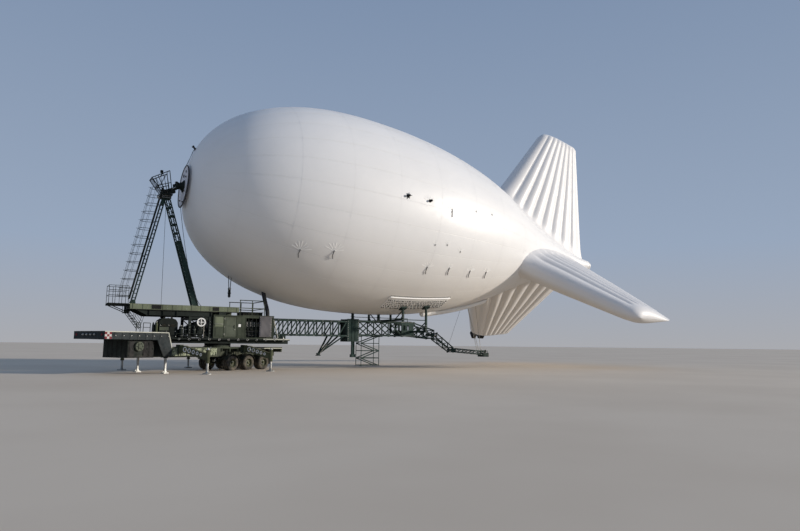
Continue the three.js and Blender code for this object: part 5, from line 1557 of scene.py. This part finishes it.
def make_boom():
    """Gussets, pipes, cables and bolted ends along the boom."""
    boom = Shape()
    truss_fittings(boom, (5.195, 10.32), (2.065, 2.065), (2.967, 2.967), 9, TRUSS_SIDE)
    truss_fittings(boom, (11.16, 14.5), (2.124, 2.124), (3.016, 3.016), 3, TRUSS_SIDE, 0.16)
    truss_fittings(boom, (15.335, 17.07), (2.124, 1.969), (3.016, 2.522), 2, TRUSS_SIDE, 0.12)
    for first, pitch, reach, bays, levels in ((5.195, 0.5706, 0.26, 9, (2.065, 2.967)),
                                              (11.16, 0.555, 0.27, 6, (2.124, 3.016))):
        for k, z in product(range(bays), levels):
            x, turn = first + pitch * (k + 0.5), 1 if k % 2 else -1
            boom.bar((x - reach, -0.44 * turn, z), (x + reach, 0.44 * turn, z), 0.022)
    for z, y in ((3.03, -0.3), (3.03, -0.25), (2.13, 0.36)):
        rail(boom, [(5.25, y, z), (10.3, y, z)], 0.017, 2)
        rail(boom, [(11.2, y, z + 0.05), (15.3, y, z + 0.05)], 0.017, 2)
    for side in (-1, 1):
        y = side * 0.515
        for x in (10.38, 11.1):
            bolt_row(boom, (x, y, 1.72), (x, y, 3.13), 12, (0, side, 0), 0.017, 1)
        for z in (1.76, 2.42, 3.09):
            boom.box((10.36, 11.12), depth(y, side, 0.02), (z - 0.02, z + 0.02))
        for x in (10.62, 10.88):
            boom.box((x, x + 0.014), depth(y, side, 0.02), (1.72, 3.13))
        for x in (14.62, 14.89):
            oval = [(x + 0.085 * cos(turn), side * 0.484, (2.76 if turn < pi else 2.56) + 0.085 * sin(turn))
                    for turn in (2 * pi * k / 24 for k in range(24))]
            boom.tube(oval, 0.011, 6, 0, True)
        bolt_row(boom, (14.45, side * 0.481, 2.11), (15.3, side * 0.481, 2.11), 8, (0, side, 0), 0.014, 1)
        bolt_row(boom, (14.45, side * 0.481, 3.03), (15.3, side * 0.481, 3.03), 8, (0, side, 0), 0.014, 1)
        boom.turned((17.19, side * 0.36, 2.23), (0, side, 0), [
            (0, 0), (0, 0.09), (0.04, 0.09), (0.05, 0.06), (0.07, 0.06), (0.07, 0)], 16, 1)
    boom.turned((8.565, 0, 0.8), UP, [
        (0, 0), (0, 0.17), (0.03, 0.17), (0.05, 0.1), (0.09, 0.08), (0.09, 0)], 20)
    for y in (-1, 1):
        boom.tube([(9.3, 0.4 * y, 2.0), (9.02, 0.24 * y, 1.52)], 0.055, 12)
        boom.tube([(9.02, 0.24 * y, 1.52), (8.66, 0.04 * y, 0.95)], 0.032, 10, 1)
    boom.turned((10.986, 0, 0.7), UP, [(0, 0), (0, 0.2), (0.02, 0.2), (0.04, 0.13), (0.06, 0)], 20)
    boom.tube([(5.15, -1.05, 3.12), (5.3, -1.06, 2.6), (5.51, -1.08, 1.82)], 0.03, 10, 3)
    boom.turned((5.51, -1.08, 1.805), UP, [
        (0, 0), (0, 0.08), (0.015, 0.08), (0.02, 0.04), (0.05, 0.035), (0.05, 0)], 14)
    boom.turned((10.938, 0, 2.45), (0, 1, 0), [(-0.2, 0), (-0.2, 0.15), (0.2, 0.15), (0.2, 0)], 18)
    boom.piece("boom_fittings", "boom steel hose deck_trim", "boom_paint", bevel=0.0015)


def make_steps():
    """Treads and feet of the hanging steps."""
    steps = Shape()
    for row in range(5):
        z = 0.2 + row * 0.465
        for k in range(4):
            y = -0.33 + 0.2 * k
            steps.box((11.42, 12.72), (y, y + 0.1), (z, z + 0.018))
    for x, y in product((11.4, 12.74), (-0.4, 0.4)):
        steps.box((x - 0.05, x + 0.05), (y - 0.05, y + 0.05), (0.15, 0.165))
    steps.piece("steps_treads", "boom", "boom_paint", bevel=0.002)


def make_boom_tail():
    """Gussets and lacing on the first folding length."""
    tail = Shape()
    truss_fittings(tail, (17.34, 18.79), (1.93, 1.03), (2.366, 1.348), 3, 0.355, 0.09)
    for k in range(6):
        share = (k + 0.5) / 6
        x, z = 17.33 + 1.47 * share, 1.93 - 0.9 * share
        turn = 1 if k % 2 else -1
        tail.bar((x - 0.11, -0.32 * turn, z + 0.07), (x + 0.11, 0.32 * turn, z - 0.07), 0.024)
    tail.piece("boom_tail_fittings", "boom steel", "boom_paint", bevel=0.0015, body="boom_tail")


def make_boom_end():
    """Gussets, panels, rope winch and rope eyes on the last folding length."""
    end = Shape()
    truss_fittings(end, (19.05, 21.45), (1.057, 0.871), (1.29, 1.114), 4, 0.268, 0.08)
    for side in (-1, 1):
        panel(end, (21.52, 21.99), side * 0.32, (0.72, 0.96), side, 0.01, 0, 4)
    for x, y in product((21.55, 21.95), (-0.26, 0.26)):
        end.bar((x, y, 0.98), (x, y * 0.9, 1.16), 0.03)
    end.turned((21.75, -0.26, 1.1), (0, 1, 0), [(0, 0), (0, 0.11), (0.02, 0.11), (0.03, 0.06), (0.49, 0.06),
                                                (0.5, 0.11), (0.52, 0.11), (0.52, 0)], 20, 2)
    for x, y in ROPE_EYES:
        end.turned((x, y, 1.085), UP, [(0, 0), (0, 0.035), (0.03, 0.035), (0.04, 0)], 10, 1)
    for k in range(4):
        end.bar((21.15 + 0.09 * k, -0.26, 1.11), (21.15 + 0.09 * k, 0.26, 1.11), 0.05, 0.012)
    end.piece("boom_end_fittings", "boom steel dark", "boom_paint", bevel=0.002, body="boom_end")


def make_hose():
    """Ribbed supply hose with its clamps, on a smooth line through the points of its run."""
    path = [(4.615, 5.16), (4.635, 5.042), (4.693, 4.655), (4.829, 4.073), (4.975, 3.568), (5.02, 3.3),
            (HOSE_FOOT[0], 3.135)]

    def curve(a, b, c, d, t):
        """A smooth curve from b to c, steered by the points before and after them."""
        return 0.5 * (2 * b + (c - a) * t + (2 * a - 5 * b + 4 * c - d) * t * t
                      + (3 * b - a - 3 * c + d) * t ** 3)

    points = []
    for i in range(len(path) - 1):
        near = [path[max(i - 1, 0)], path[i], path[i + 1], path[min(i + 2, len(path) - 1)]]
        points += [tuple(curve(*values, k / 10) for values in zip(*near)) for k in range(10)]
    points.append(path[-1])
    hose = Shape()
    ribs = [0.126 if k % 2 else 0.112 for k in range(len(points))]
    hose.tube([(x, HOSE_FOOT[1], z) for x, z in points], ribs, 24)
    for k in (8, 15, len(points) - 4):
        x, z = points[k]
        ahead = Vector((points[k + 1][0] - x, 0, points[k + 1][1] - z))
        hose.collar((x, HOSE_FOOT[1], z), ahead, 0.05, 0.11, 0.134, 24, 1)
    hose.turned((*HOSE_FOOT, ROOF), UP, [
        (0, 0.16), (0, 0.21), (0.02, 0.21), (0.03, 0.17), (0.05, 0.165), (0.05, 0.13)], 28, 1)
    hose.piece("supply_hose_skin", "hose dark", "hose", ["supply_hose"])


def make_swivel():
    """Rings, bolts and eye of the tether swivel."""
    swivel = Shape()
    for z, radius in ((4.28, 0.082), (4.4, 0.078), (4.52, 0.082), (4.66, 0.08)):
        swivel.collar((SWIVEL_X, 0, z), UP, 0.03, 0.07, radius)
    for spot in circle((SWIVEL_X, 0, 4.49), 0.085, 6, "xy"):
        bolt(swivel, spot, UP, 0.01, 1)
    for side in (-1, 1):
        swivel.turned((SWIVEL_X, side * 0.09, 4.722), (0, side, 0), [
            (0, 0), (0, 0.07), (0.02, 0.07), (0.03, 0.05), (0.03, 0)], 14, 1)
    swivel.turned((SWIVEL_X, 0, 4.2), UP, [(0, 0), (0, 0.04), (0.02, 0.06), (0.05, 0.06), (0.05, 0)], 16, 1)
    swivel.piece("swivel_fittings", "dark steel", "dark_paint", bevel=0.001)


def make_cradle():
    """Bolts, gussets, straps and rails on the belly cradle."""
    cradle = Shape()
    for x, foot, low in ((13.38, 3.02, 3.06), (15.15, 2.33, 2.33)):
        for y in (-2.33, 2.33):
            side = copysign(1, y)
            outside, inside, deep = y + side * 0.06, y - side * 0.06, y - side * 0.36
            bolt_row(cradle, (x - 0.04, outside, foot + 0.06), (x - 0.04, outside, foot + 0.5), 4,
                     (0, side, 0), 0.013, 1)
            cradle.prism([(x - 0.012, inside, foot + 0.4), (x - 0.012, inside, low + 0.1),
                          (x - 0.012, deep, low + 0.1)], (0.024, 0, 0))
        for y in (-1.6, -0.8, 0.8, 1.6):
            cradle.box((x - 0.072, x + 0.072), (y - 0.04, y + 0.04), (low + 0.02, low + 0.14))
    for x in (10.938, 12.87):
        for z in (3.2, 3.32):
            cradle.box((x - 0.1, x + 0.1), (-0.1, 0.1), (z, z + 0.02))
        cradle.turned((x, 0, 3.34), UP, [(0, 0), (0, 0.085), (0.1, 0.085), (0.12, 0.06), (0.12, 0)], 16)
    rail(cradle, [(12.87, 0.0, 3.3), (15.15, 0.0, 3.3), (15.15, 0.0, 2.48)], 0.022)
    rail(cradle, [(10.94, 0.0, 3.3), (12.87, 0.0, 3.3)], 0.018)
    cradle.piece("cradle_fittings", "boom steel", "boom_paint", bevel=0.0015)


# ---------------------------------------------------------------- trailer

def make_neck():
    """Edge strips, chequered squares, ribs, couplings, rails and floor plates on the raised neck."""
    neck = Shape(TRAILER)
    for side in (-1, 1):
        face = side * TRAILER_SIDE
        # The pale top strip and slope bar are painted light on the neck's edge; the dark neck paint below them
        # is painted shade.
        neck.box((NECK_TIP, -4.363), depth(face, side, 0.014), (2.018, 2.06), 1)
        neck.box((-6.35, -4.99), depth(face, side, 0.014), (1.668, 1.69))
        neck.bar((-4.363, face + side * 0.007, 2.04), (BED_START, face + side * 0.007, 1.27), 0.014, 0.045, 1)
        neck.bar((-4.994, face + side * 0.007, 1.68), (-4.606, face + side * 0.007, 0.865), 0.014, 0.04)
        for k in range(8):
            x = -7.4 + 0.42 * k
            neck.box((x, x + 0.02), depth(face, side, 0.016), (1.7, 2.018))
        for column, row in product(range(3), range(3)):
            x, z = -7.86 + 0.115 * column, 1.7 + 0.105 * row
            neck.box((x, x + 0.115), depth(face, side, 0.005), (z, z + 0.105), 2 if (column + row) % 2 else 3)
        for k in range(9):
            bolt(neck, (-7.3 + 0.42 * k, face, 1.86), (0, side, 0), 0.014, 4)
        for x in ((-6.17, -5.95), (-5.785, -5.39)) if side < 0 else ():
            y = side * 1.1
            rail(neck, [(x[0], y, 2.05), (x[0], y, 2.5), (x[1], y, 2.5), (x[1], y, 2.05)], 0.017, 5)
            rail(neck, [(x[0], y, 2.28), (x[1], y, 2.28)], 0.013, 5)
        for x in ((-4.6, -4.44), (-4.82, -4.66)):
            neck.box(x, depth(face, side, 0.02), (1.2, 1.3))
    for y in (-0.45, -0.15, 0.15, 0.45):
        neck.turned((NECK_TIP, y, 1.9), (-1, 0, 0), [
            (0, 0), (0, 0.05), (0.03, 0.05), (0.04, 0.035), (0.07, 0.03), (0.08, 0)], 14, 4)
    for y in (-1.0, 1.0):
        neck.turned((NECK_TIP, y, 1.9), (-1, 0, 0), [
            (0, 0), (0, 0.06), (0.02, 0.06), (0.03, 0.04), (0.03, 0)], 16, 3)
    for k in range(10):
        for y in ((-1.16, -0.02), (0.02, 1.16)):
            neck.box((-7.8 + 0.34 * k, -7.49 + 0.34 * k), y, (2.056, 2.0605))
    neck.piece("neck_fittings", "neck deck_trim chalk red steel dark", "green_paint", bevel=0.0015,
               body="trailer")


def make_locker():
    """Doors with hinges and handles, edge strips and the spare wheel on the locker."""
    box = Shape(TRAILER)
    for side in (-1, 1):
        face = side * 0.97
        for x in ((-6.43, -6.14), (-5.64, -5.36), (-5.33, -5.04)):
            # The door panels take black paint: painted shade, the shadow under the neck painted into the doors.
            panel(box, x, face, (0.84, 1.62), side, 0.012, 0, 3)
            box.box((x[1] - 0.07, x[1] - 0.04), depth(face, side, 0.05, 0.02), (1.2, 1.28), 1)
            hinge_x, hinge_y = x[0] + 0.005, face + side * 0.02
            for z in (0.95, 1.5):
                box.rod((hinge_x, hinge_y, z - 0.04), (hinge_x, hinge_y, z + 0.04), 0.012, 6, 1)
        for z in (0.8, 1.63):
            box.box((-6.465, -5.01), depth(face, side, 0.02), (z, z + 0.03))
    for k in range(5):
        box.box((-6.477, -6.465), (-0.85 + 0.36 * k, -0.82 + 0.36 * k), (0.82, 1.64))
    reel = (-5.9, -1.086, 1.348)
    box.turned(reel, (0, -1, 0), [(-0.11, 0), (-0.11, 0.226), (0.0, 0.232), (0.014, 0.222), (0.016, 0.16),
                                  (0.002, 0.15), (0.002, 0.1), (0.045, 0.095), (0.05, 0)], 28, 2)
    middle = (reel[0], -1.094, reel[2])
    for a, b in zip(circle(middle, 0.09, 6), circle(middle, 0.215, 6)):
        box.bar(a, b, 0.016, 0.03, 1)
    box.piece("locker_fittings", "black dark panel", "dark_paint", bevel=0.002, body="trailer")


def make_bed():
    """Mottled side sheets, edge strips, fenders, mud flaps, tanks, lamps and floor plates of the bed."""
    bed = Shape(TRAILER)
    for side in (-1, 1):
        face = side * TRAILER_SIDE
        for k in range(6):
            left = -4.18 + 0.52 * k if k else -4.08
            bed.box((left, min(-3.74 + 0.52 * k, -0.95)), depth(face, side, 0.008), (0.876, 1.262), 1)
        bed.box((BED_START, BED_END), depth(face, side, 0.02), (1.262, 1.313))
        bed.box((BED_START, -0.921), depth(face, side, 0.03), (0.853, 0.876))
        for k in range(12):
            bolt(bed, (-4.0 + 0.26 * k, face + side * 0.008, 1.18), (0, side, 0), 0.012, 3)
            bolt(bed, (-4.0 + 0.26 * k, face + side * 0.008, 0.94), (0, side, 0), 0.012, 3)
        bed.box((1.8, 4.1), depth(face, side, 0.055), (1.222, 1.258), 2)
        for x in (1.9, 2.95, 4.0):
            bed.box((x, x + 0.03), depth(face, side, 0.045), (1.1, 1.222))
        for x in (-0.8, -0.2, 0.4, 1.4):
            bed.box((x, x + 0.04), depth(face, side, 0.024, -0.05), (1.06, 1.262))
        for x in AXLES:
            arc = [radians(22 + 136 * k / 16) for k in range(17)]
            rows = [[(x + reach * cos(turn), side * y, TYRE_RADIUS + reach * sin(turn)) for turn in arc]
                    for reach, y in ((0.5, 0.665), (0.5, 1.205), (0.512, 1.205), (0.512, 0.665), (0.5, 0.665))]
            bed.grid(rows, 4)
            for end in (0, 16):
                bed.add([row[end] for row in rows[:4]], [(0, 1, 2, 3)], 4)
            for dx in (-0.26, 0.26):
                foot = TYRE_RADIUS + 0.505 * sin(acos(dx / 0.505))
                bed.box((x + dx - 0.02, x + dx + 0.02), depth(0, side, 0.94, 0.9), (foot, 1.245), 4)
        bed.box((3.155, 3.17), depth(0, side, 1.19, 0.7), (0.3, 1.245), 5)
        bed.box((3.15, 3.185), depth(0, side, 1.19, 0.7), (1.16, 1.245), 3)
        for x, reach, radius in ((-2.1, 0.8, 0.14), (-3.4, 0.75, 0.12)):
            y = side * 0.86
            dome = [(0, 0), (0.01, radius * 0.6), (0.05, radius * 0.95), (0.09, radius)]
            bed.turned((x, y, 1.05), (1, 0, 0), dome + [(reach - d, r) for d, r in dome[::-1]], 20, 4)
            for at in (x + 0.18, x + reach - 0.2):
                bed.box((at, at + 0.04), (y - 0.02, y + 0.02), (1.05, 1.245), 3)
                bed.tube(circle((at + 0.02, y, 1.05), radius + 0.004, 16, "yz"), 0.01, 5, 3, True)
        for y in (side * 0.92, side * 1.08):
            bed.turned((BED_END, y, 1.16), (1, 0, 0), [
                (0, 0), (0, 0.058), (0.025, 0.058), (0.035, 0.03), (0.036, 0)], 18, 6 if abs(y) < 1 else 7)
    bed.box((BED_END, 4.152), (-1.19, 1.19), (1.25, 1.3))
    for y in (-0.6, -0.2, 0.2, 0.6):
        bolt(bed, (BED_END, y, 1.1), (1, 0, 0), 0.018, 3)
    bed.box((BED_END, 4.2), (-0.3, 0.3), (1.04, 1.1), 4)
    for k in range(16):
        x = -4.05 + 0.51 * k
        if abs(x + 0.25) > 1.15:
            for y in ((-1.19, -0.42), (-0.38, 0.38), (0.42, 1.19)):
                bed.box((x, x + 0.48), y, (1.309, 1.3135))
    bed.piece("bed_fittings", "green mottled deck_trim steel dark tyre red olive", "green_paint",
              bevel=0.0015, body="trailer")


def make_axles():
    """Clamps, spring pads, brake hoses and gear cases on the axles."""
    under = Shape(TRAILER)
    for x in AXLES:
        for y in (-0.465, 0.465):
            for k in (-0.055, 0.055):
                under.tube([(x + k, y - 0.06, 0.62), (x + k, y - 0.06, 0.35), (x + k, y + 0.06, 0.35),
                            (x + k, y + 0.06, 0.62)], 0.012, 6, 1)
            under.box((x - 0.08, x + 0.08), (y - 0.075, y + 0.075), (0.6, 0.625))
            under.box((x - 0.4, x - 0.34), (y - 0.05, y + 0.05), (0.5, 0.7))
            under.box((x + 0.34, x + 0.4), (y - 0.05, y + 0.05), (0.5, 0.7))
        under.tube([(x, -0.3, 0.47), (x - 0.2, -0.32, 0.62), (x - 0.3, -0.36, 0.82)], 0.014, 6, 2)
        under.turned((x - 0.05, 0.0, 0.43), (1, 0, 0), [
            (-0.13, 0), (-0.13, 0.07), (0.0, 0.09), (0.13, 0.07), (0.13, 0)], 16)
    under.piece("axle_fittings", "dark steel hose", "dark_paint", bevel=0.002, body="trailer")


def make_wheels():
    for name, side in SIDES:
        for number, x in enumerate(AXLES, 1):
            make_wheel("wheel_%s_%d" % (name, number), x, side)


def make_wheel(name, x, side):
    """Twin tyres with staggered lugs and bulged walls, rim flanges, a dished disc, nuts and a hub."""
    wheel = Shape(TRAILER)
    radius, rim = TYRE_RADIUS, 0.242
    wall = [(0.018, rim), (0.004, rim + 0.02), (-0.003, rim + 0.07), (0.002, rim + 0.12), (0.018, rim + 0.148),
            (0.045, radius - 0.012)]

    def at(y):
        return (x, side * y, radius)

    for low, high in ((0.689, 0.92), (0.965, 1.203)):
        width = high - low
        other_wall = [(width - d, r) for d, r in wall[::-1]]
        outline = [(0.018, rim - 0.02), *wall, (width / 2, radius - 0.01), *other_wall,
                   (width - 0.018, rim - 0.02), (0.018, rim - 0.02)]
        wheel.turned(at(low), (0, side, 0), outline, 48)
        span = width / 2 - 0.036
        for row, first, slant in ((0, low + 0.03, -0.1), (1, low + width / 2 + 0.006, 0.1)):
            for k in range(34):
                turn = 2 * pi * (k + 0.5 * row) / 34
                radial, tangent = Vector((cos(turn), 0, sin(turn))), Vector((-sin(turn), 0, cos(turn)))
                corners = product((radius - 0.022, radius - 0.001), (0, span), (-0.02, 0.02))
                wheel.add([Vector(at(first + across)) + radial * deep
                           + tangent * (reach + slant * (across - span / 2))
                           for deep, across, reach in corners], BOX_FACES)
        for at_y in (low + 0.012, high - 0.012):
            wheel.tube(circle(at(at_y), rim + 0.004, 36), 0.009, 6, 1, True)
    wheel.turned(at(0.7), (0, side, 0), [
        (0, 0), (0, 0.1), (0.01, 0.236), (0.18, 0.232), (0.3, 0.232), (0.49, 0.24), (0.47, 0.222),
        (0.4, 0.212), (0.375, 0.185), (0.375, 0.15), (0.4, 0.135), (0.405, 0.088), (0.46, 0.08),
        (0.485, 0.062), (0.488, 0),
    ], 36, 1)
    for spot in circle(at(1.0745), 0.167, 8):
        wheel.plug(spot, (0, side, 0), 0.003, 0.022, 12, 2)
    for spot in circle(at(1.103), 0.112, 10, "xz", pi / 10):
        bolt(wheel, spot, (0, side, 0), 0.012, 3)
    wheel.piece(name + "_tyres", "tyre olive black steel", "tyre", [name], body=name)


def make_outriggers():
    """Flanges, hole rims, caps and cranks on the swinging arms; threads and gussets on their screws."""
    holes = ((0.417, 1.203, 0.112), (0.737, 1.145, 0.096), (1.048, 1.077, 0.082), (1.339, 1.019, 0.068),
             (1.61, 0.96, 0.055))
    reach = 2.018
    for end, x in (("front", -3.693), ("rear", 0.826)):
        for name, side in SIDES:
            pin = Matrix.Translation((x, side * 1.377, 0))
            place = TRAILER @ pin @ Matrix.Rotation(side * pi / 2, 4, "Z")
            arm = Shape(place)
            for ax, az, bx, bz in (
                (0.32, 1.392, 1.95, 1.004), (0.49, 1.033, 1.95, 0.686), (0.12, 1.392, 0.32, 1.392),
            ):
                arm.bar((ax, 0, az), (bx, 0, bz), 0.215, 0.014)
            for face in (-0.085, 0.085):
                away = copysign(0.006, face)
                # The white rims round the holes are painted light: the bright ground seen through the holes,
                # painted on as rings.
                for hx, hz, radius in holes:
                    arm.tube(circle((hx, face + away * 0.5, hz), radius + 0.004, 20), 0.024, 6, 1, True)
                for (ax, az, _), (bx, bz, _) in zip(holes, holes[1:]):
                    mx, mz = (ax + bx) / 2, (az + bz) / 2
                    arm.box((mx - 0.006, mx + 0.006), depth(face, away, 2.2), (mz - 0.13, mz + 0.13))
            for z in (0.56, 0.7, 1.16):
                arm.collar((reach, 0, z), UP, 0.025, 0.085, 0.118)
            arm.turned((reach, 0, 1.195), UP, [
                (0, 0), (0, 0.1), (0.02, 0.1), (0.04, 0.05), (0.1, 0.045), (0.105, 0)], 18, 2)
            arm.tube([(reach, 0, 1.26), (reach + 0.05, 0.12, 1.26), (reach + 0.05, 0.12, 1.36)], 0.013, 6, 2)
            arm.plug((0, 0, 1.387), UP, 0.008, 0.06, 14, 2)
            body = "outrigger_%s_%s" % (name, end)
            arm.piece(body + "_fittings", "olive white steel", "green_paint", bevel=0.0015, body=body)
            screw = Shape(place)
            for k in range(12):
                thread = [(0, 0.055), (0.008, 0.0635), (0.016, 0.055)]
                screw.turned((reach, 0, 0.14 + 0.032 * k), UP, thread, 18)
            foot = [(0, 0.06), (0, 0.12), (0.03, 0.11), (0.05, 0.075), (0.08, 0.062)]
            screw.turned((reach, 0, 0.045), UP, foot, 20)
            for a, b in zip(circle((reach, 0, 0.055), 0.1, 6, "xy"), circle((reach, 0, 0.05), 0.225, 6, "xy")):
                screw.bar(a, b, 0.012, 0.022)
            body = "jack_%s_%s" % (name, end)
            screw.piece(body + "_screw", "steel", "steel", body=body)


def make_landing_legs():
    """Feet, gussets and pins of the two landing legs."""
    for name, side in SIDES:
        leg = Shape(TRAILER)
        y = side * 1.096
        leg.bar((LEG_X, y, 0.06), (LEG_X, y, 0.045), 0.2)
        for dx in (-0.09, 0.09):
            leg.prism([(LEG_X + dx * 0.5, y - 0.004, 0.2), (LEG_X + dx * 0.5, y - 0.004, 0.04),
                       (LEG_X + dx * 1.6, y - 0.004, 0.04)], (0, 0.008, 0))
        for k in range(4):
            leg.plug((LEG_X, y + side * 0.046, 0.3 + 0.11 * k), (0, side, 0), 0.004, 0.012, 10)
        leg.piece("landing_leg_%s_fittings" % name, "steel", "steel", body="landing_leg_" + name)


# ---------------------------------------------------------------- tail

def make_tip_blocks():
    """Blocks on the far fin's tip."""
    blocks = Shape(HULL)
    tilt = -pi / 2 - FIN_DROOP + FIN_ROLL

    def on_tip(share, up, across):
        lead, trail = fin_edge(FIN_LEADING, FIN_TIP), fin_edge(FIN_TRAILING, FIN_TIP)
        along = lead + (trail - lead) * share
        reach = fin_tip(share) * HULL_RADIUS + up
        return Vector((along, across * cos(tilt) - reach * sin(tilt),
                       across * sin(tilt) + reach * cos(tilt)))

    for share, length, deep in ((0.075, 0.1, 0.3), (0.265, 0.15, 0.25)):
        near, far = share - length / 2, share + length / 2
        outline = [on_tip(near, -0.3, -0.3), on_tip(far, -0.3, -0.3), on_tip(far, deep - 0.06, -0.12),
                   on_tip(near, deep - 0.06, -0.12)]
        blocks.prism(outline, on_tip(near, -0.3, 0.3) - on_tip(near, -0.3, -0.3))
    blocks.piece("fin_tip_blocks", "black", "dark_paint", bevel=0.02)


def make_tail_cap():
    """Ring with its bolts and end disc on the tail cap."""
    cap = Shape(HULL)
    end = 33.363
    cap.turned((32.98, 0, 0), (1, 0, 0), [
        (0, 0.37), (0, 0.405), (0.05, 0.41), (0.08, 0.395), (0.08, 0.37)], 36)
    for x, y, z in circle((33.02, 0, 0), 0.405, 16, "yz"):
        bolt(cap, (x, y, z), (0, y, z), 0.012, 1)
    cap.turned((end - 0.02, 0, 0), (1, 0, 0), [
        (0, 0), (0, 0.16), (0.02, 0.16), (0.03, 0.1), (0.035, 0)], 24, 2)
    cap.piece("tail_cap_fittings", "tape steel dark", "envelope")


# ---------------------------------------------------------------- build

for make in (
    set_camera, set_light, make_ropes, make_floor, make_hull, make_seams, make_fins, make_nose, make_fans,
    make_hull_fitting, make_cover, make_duct, make_keel_strip, make_front_leg, make_rear_leg, make_ladder,
    make_head, make_lock, make_frame_fittings, make_walkway, make_stair, make_deck_fittings,
    make_power_unit, make_tanks, make_winch, make_sheave, make_tower, make_house, make_door, make_bay,
    make_generator, make_bay_cover, make_roof_gear, make_boom, make_steps, make_boom_tail, make_boom_end,
    make_hose, make_swivel, make_cradle, make_neck, make_locker, make_bed, make_axles, make_wheels,
    make_outriggers, make_landing_legs, make_tip_blocks, make_tail_cap,
):
    make()
dress({
    "green": "control_house equipment_bay roof_rail trailer_frame",
    "olive": "outrigger_port_front outrigger_port_rear outrigger_starboard_front outrigger_starboard_rear",
    "neck": "gooseneck",
    "dark": "slew_deck upper_frame winch_tower winch_drum sheave_bracket power_unit generator mast_head"
            " mooring_lock neck_box axle_1 axle_2 axle_3 tether_swivel",
    "panel": "control_house_door",
    "boom": "mast_rear_leg boom_inner boom_collar boom_outer boom_knee boom_tail boom_end belly_cradle"
            " boom_steps",
    "steel": "jack_port_front jack_port_rear jack_starboard_front jack_starboard_rear landing_leg_port"
             " landing_leg_starboard",
    "white": "tether_sheave",
    "hull": "tail_cap",
})
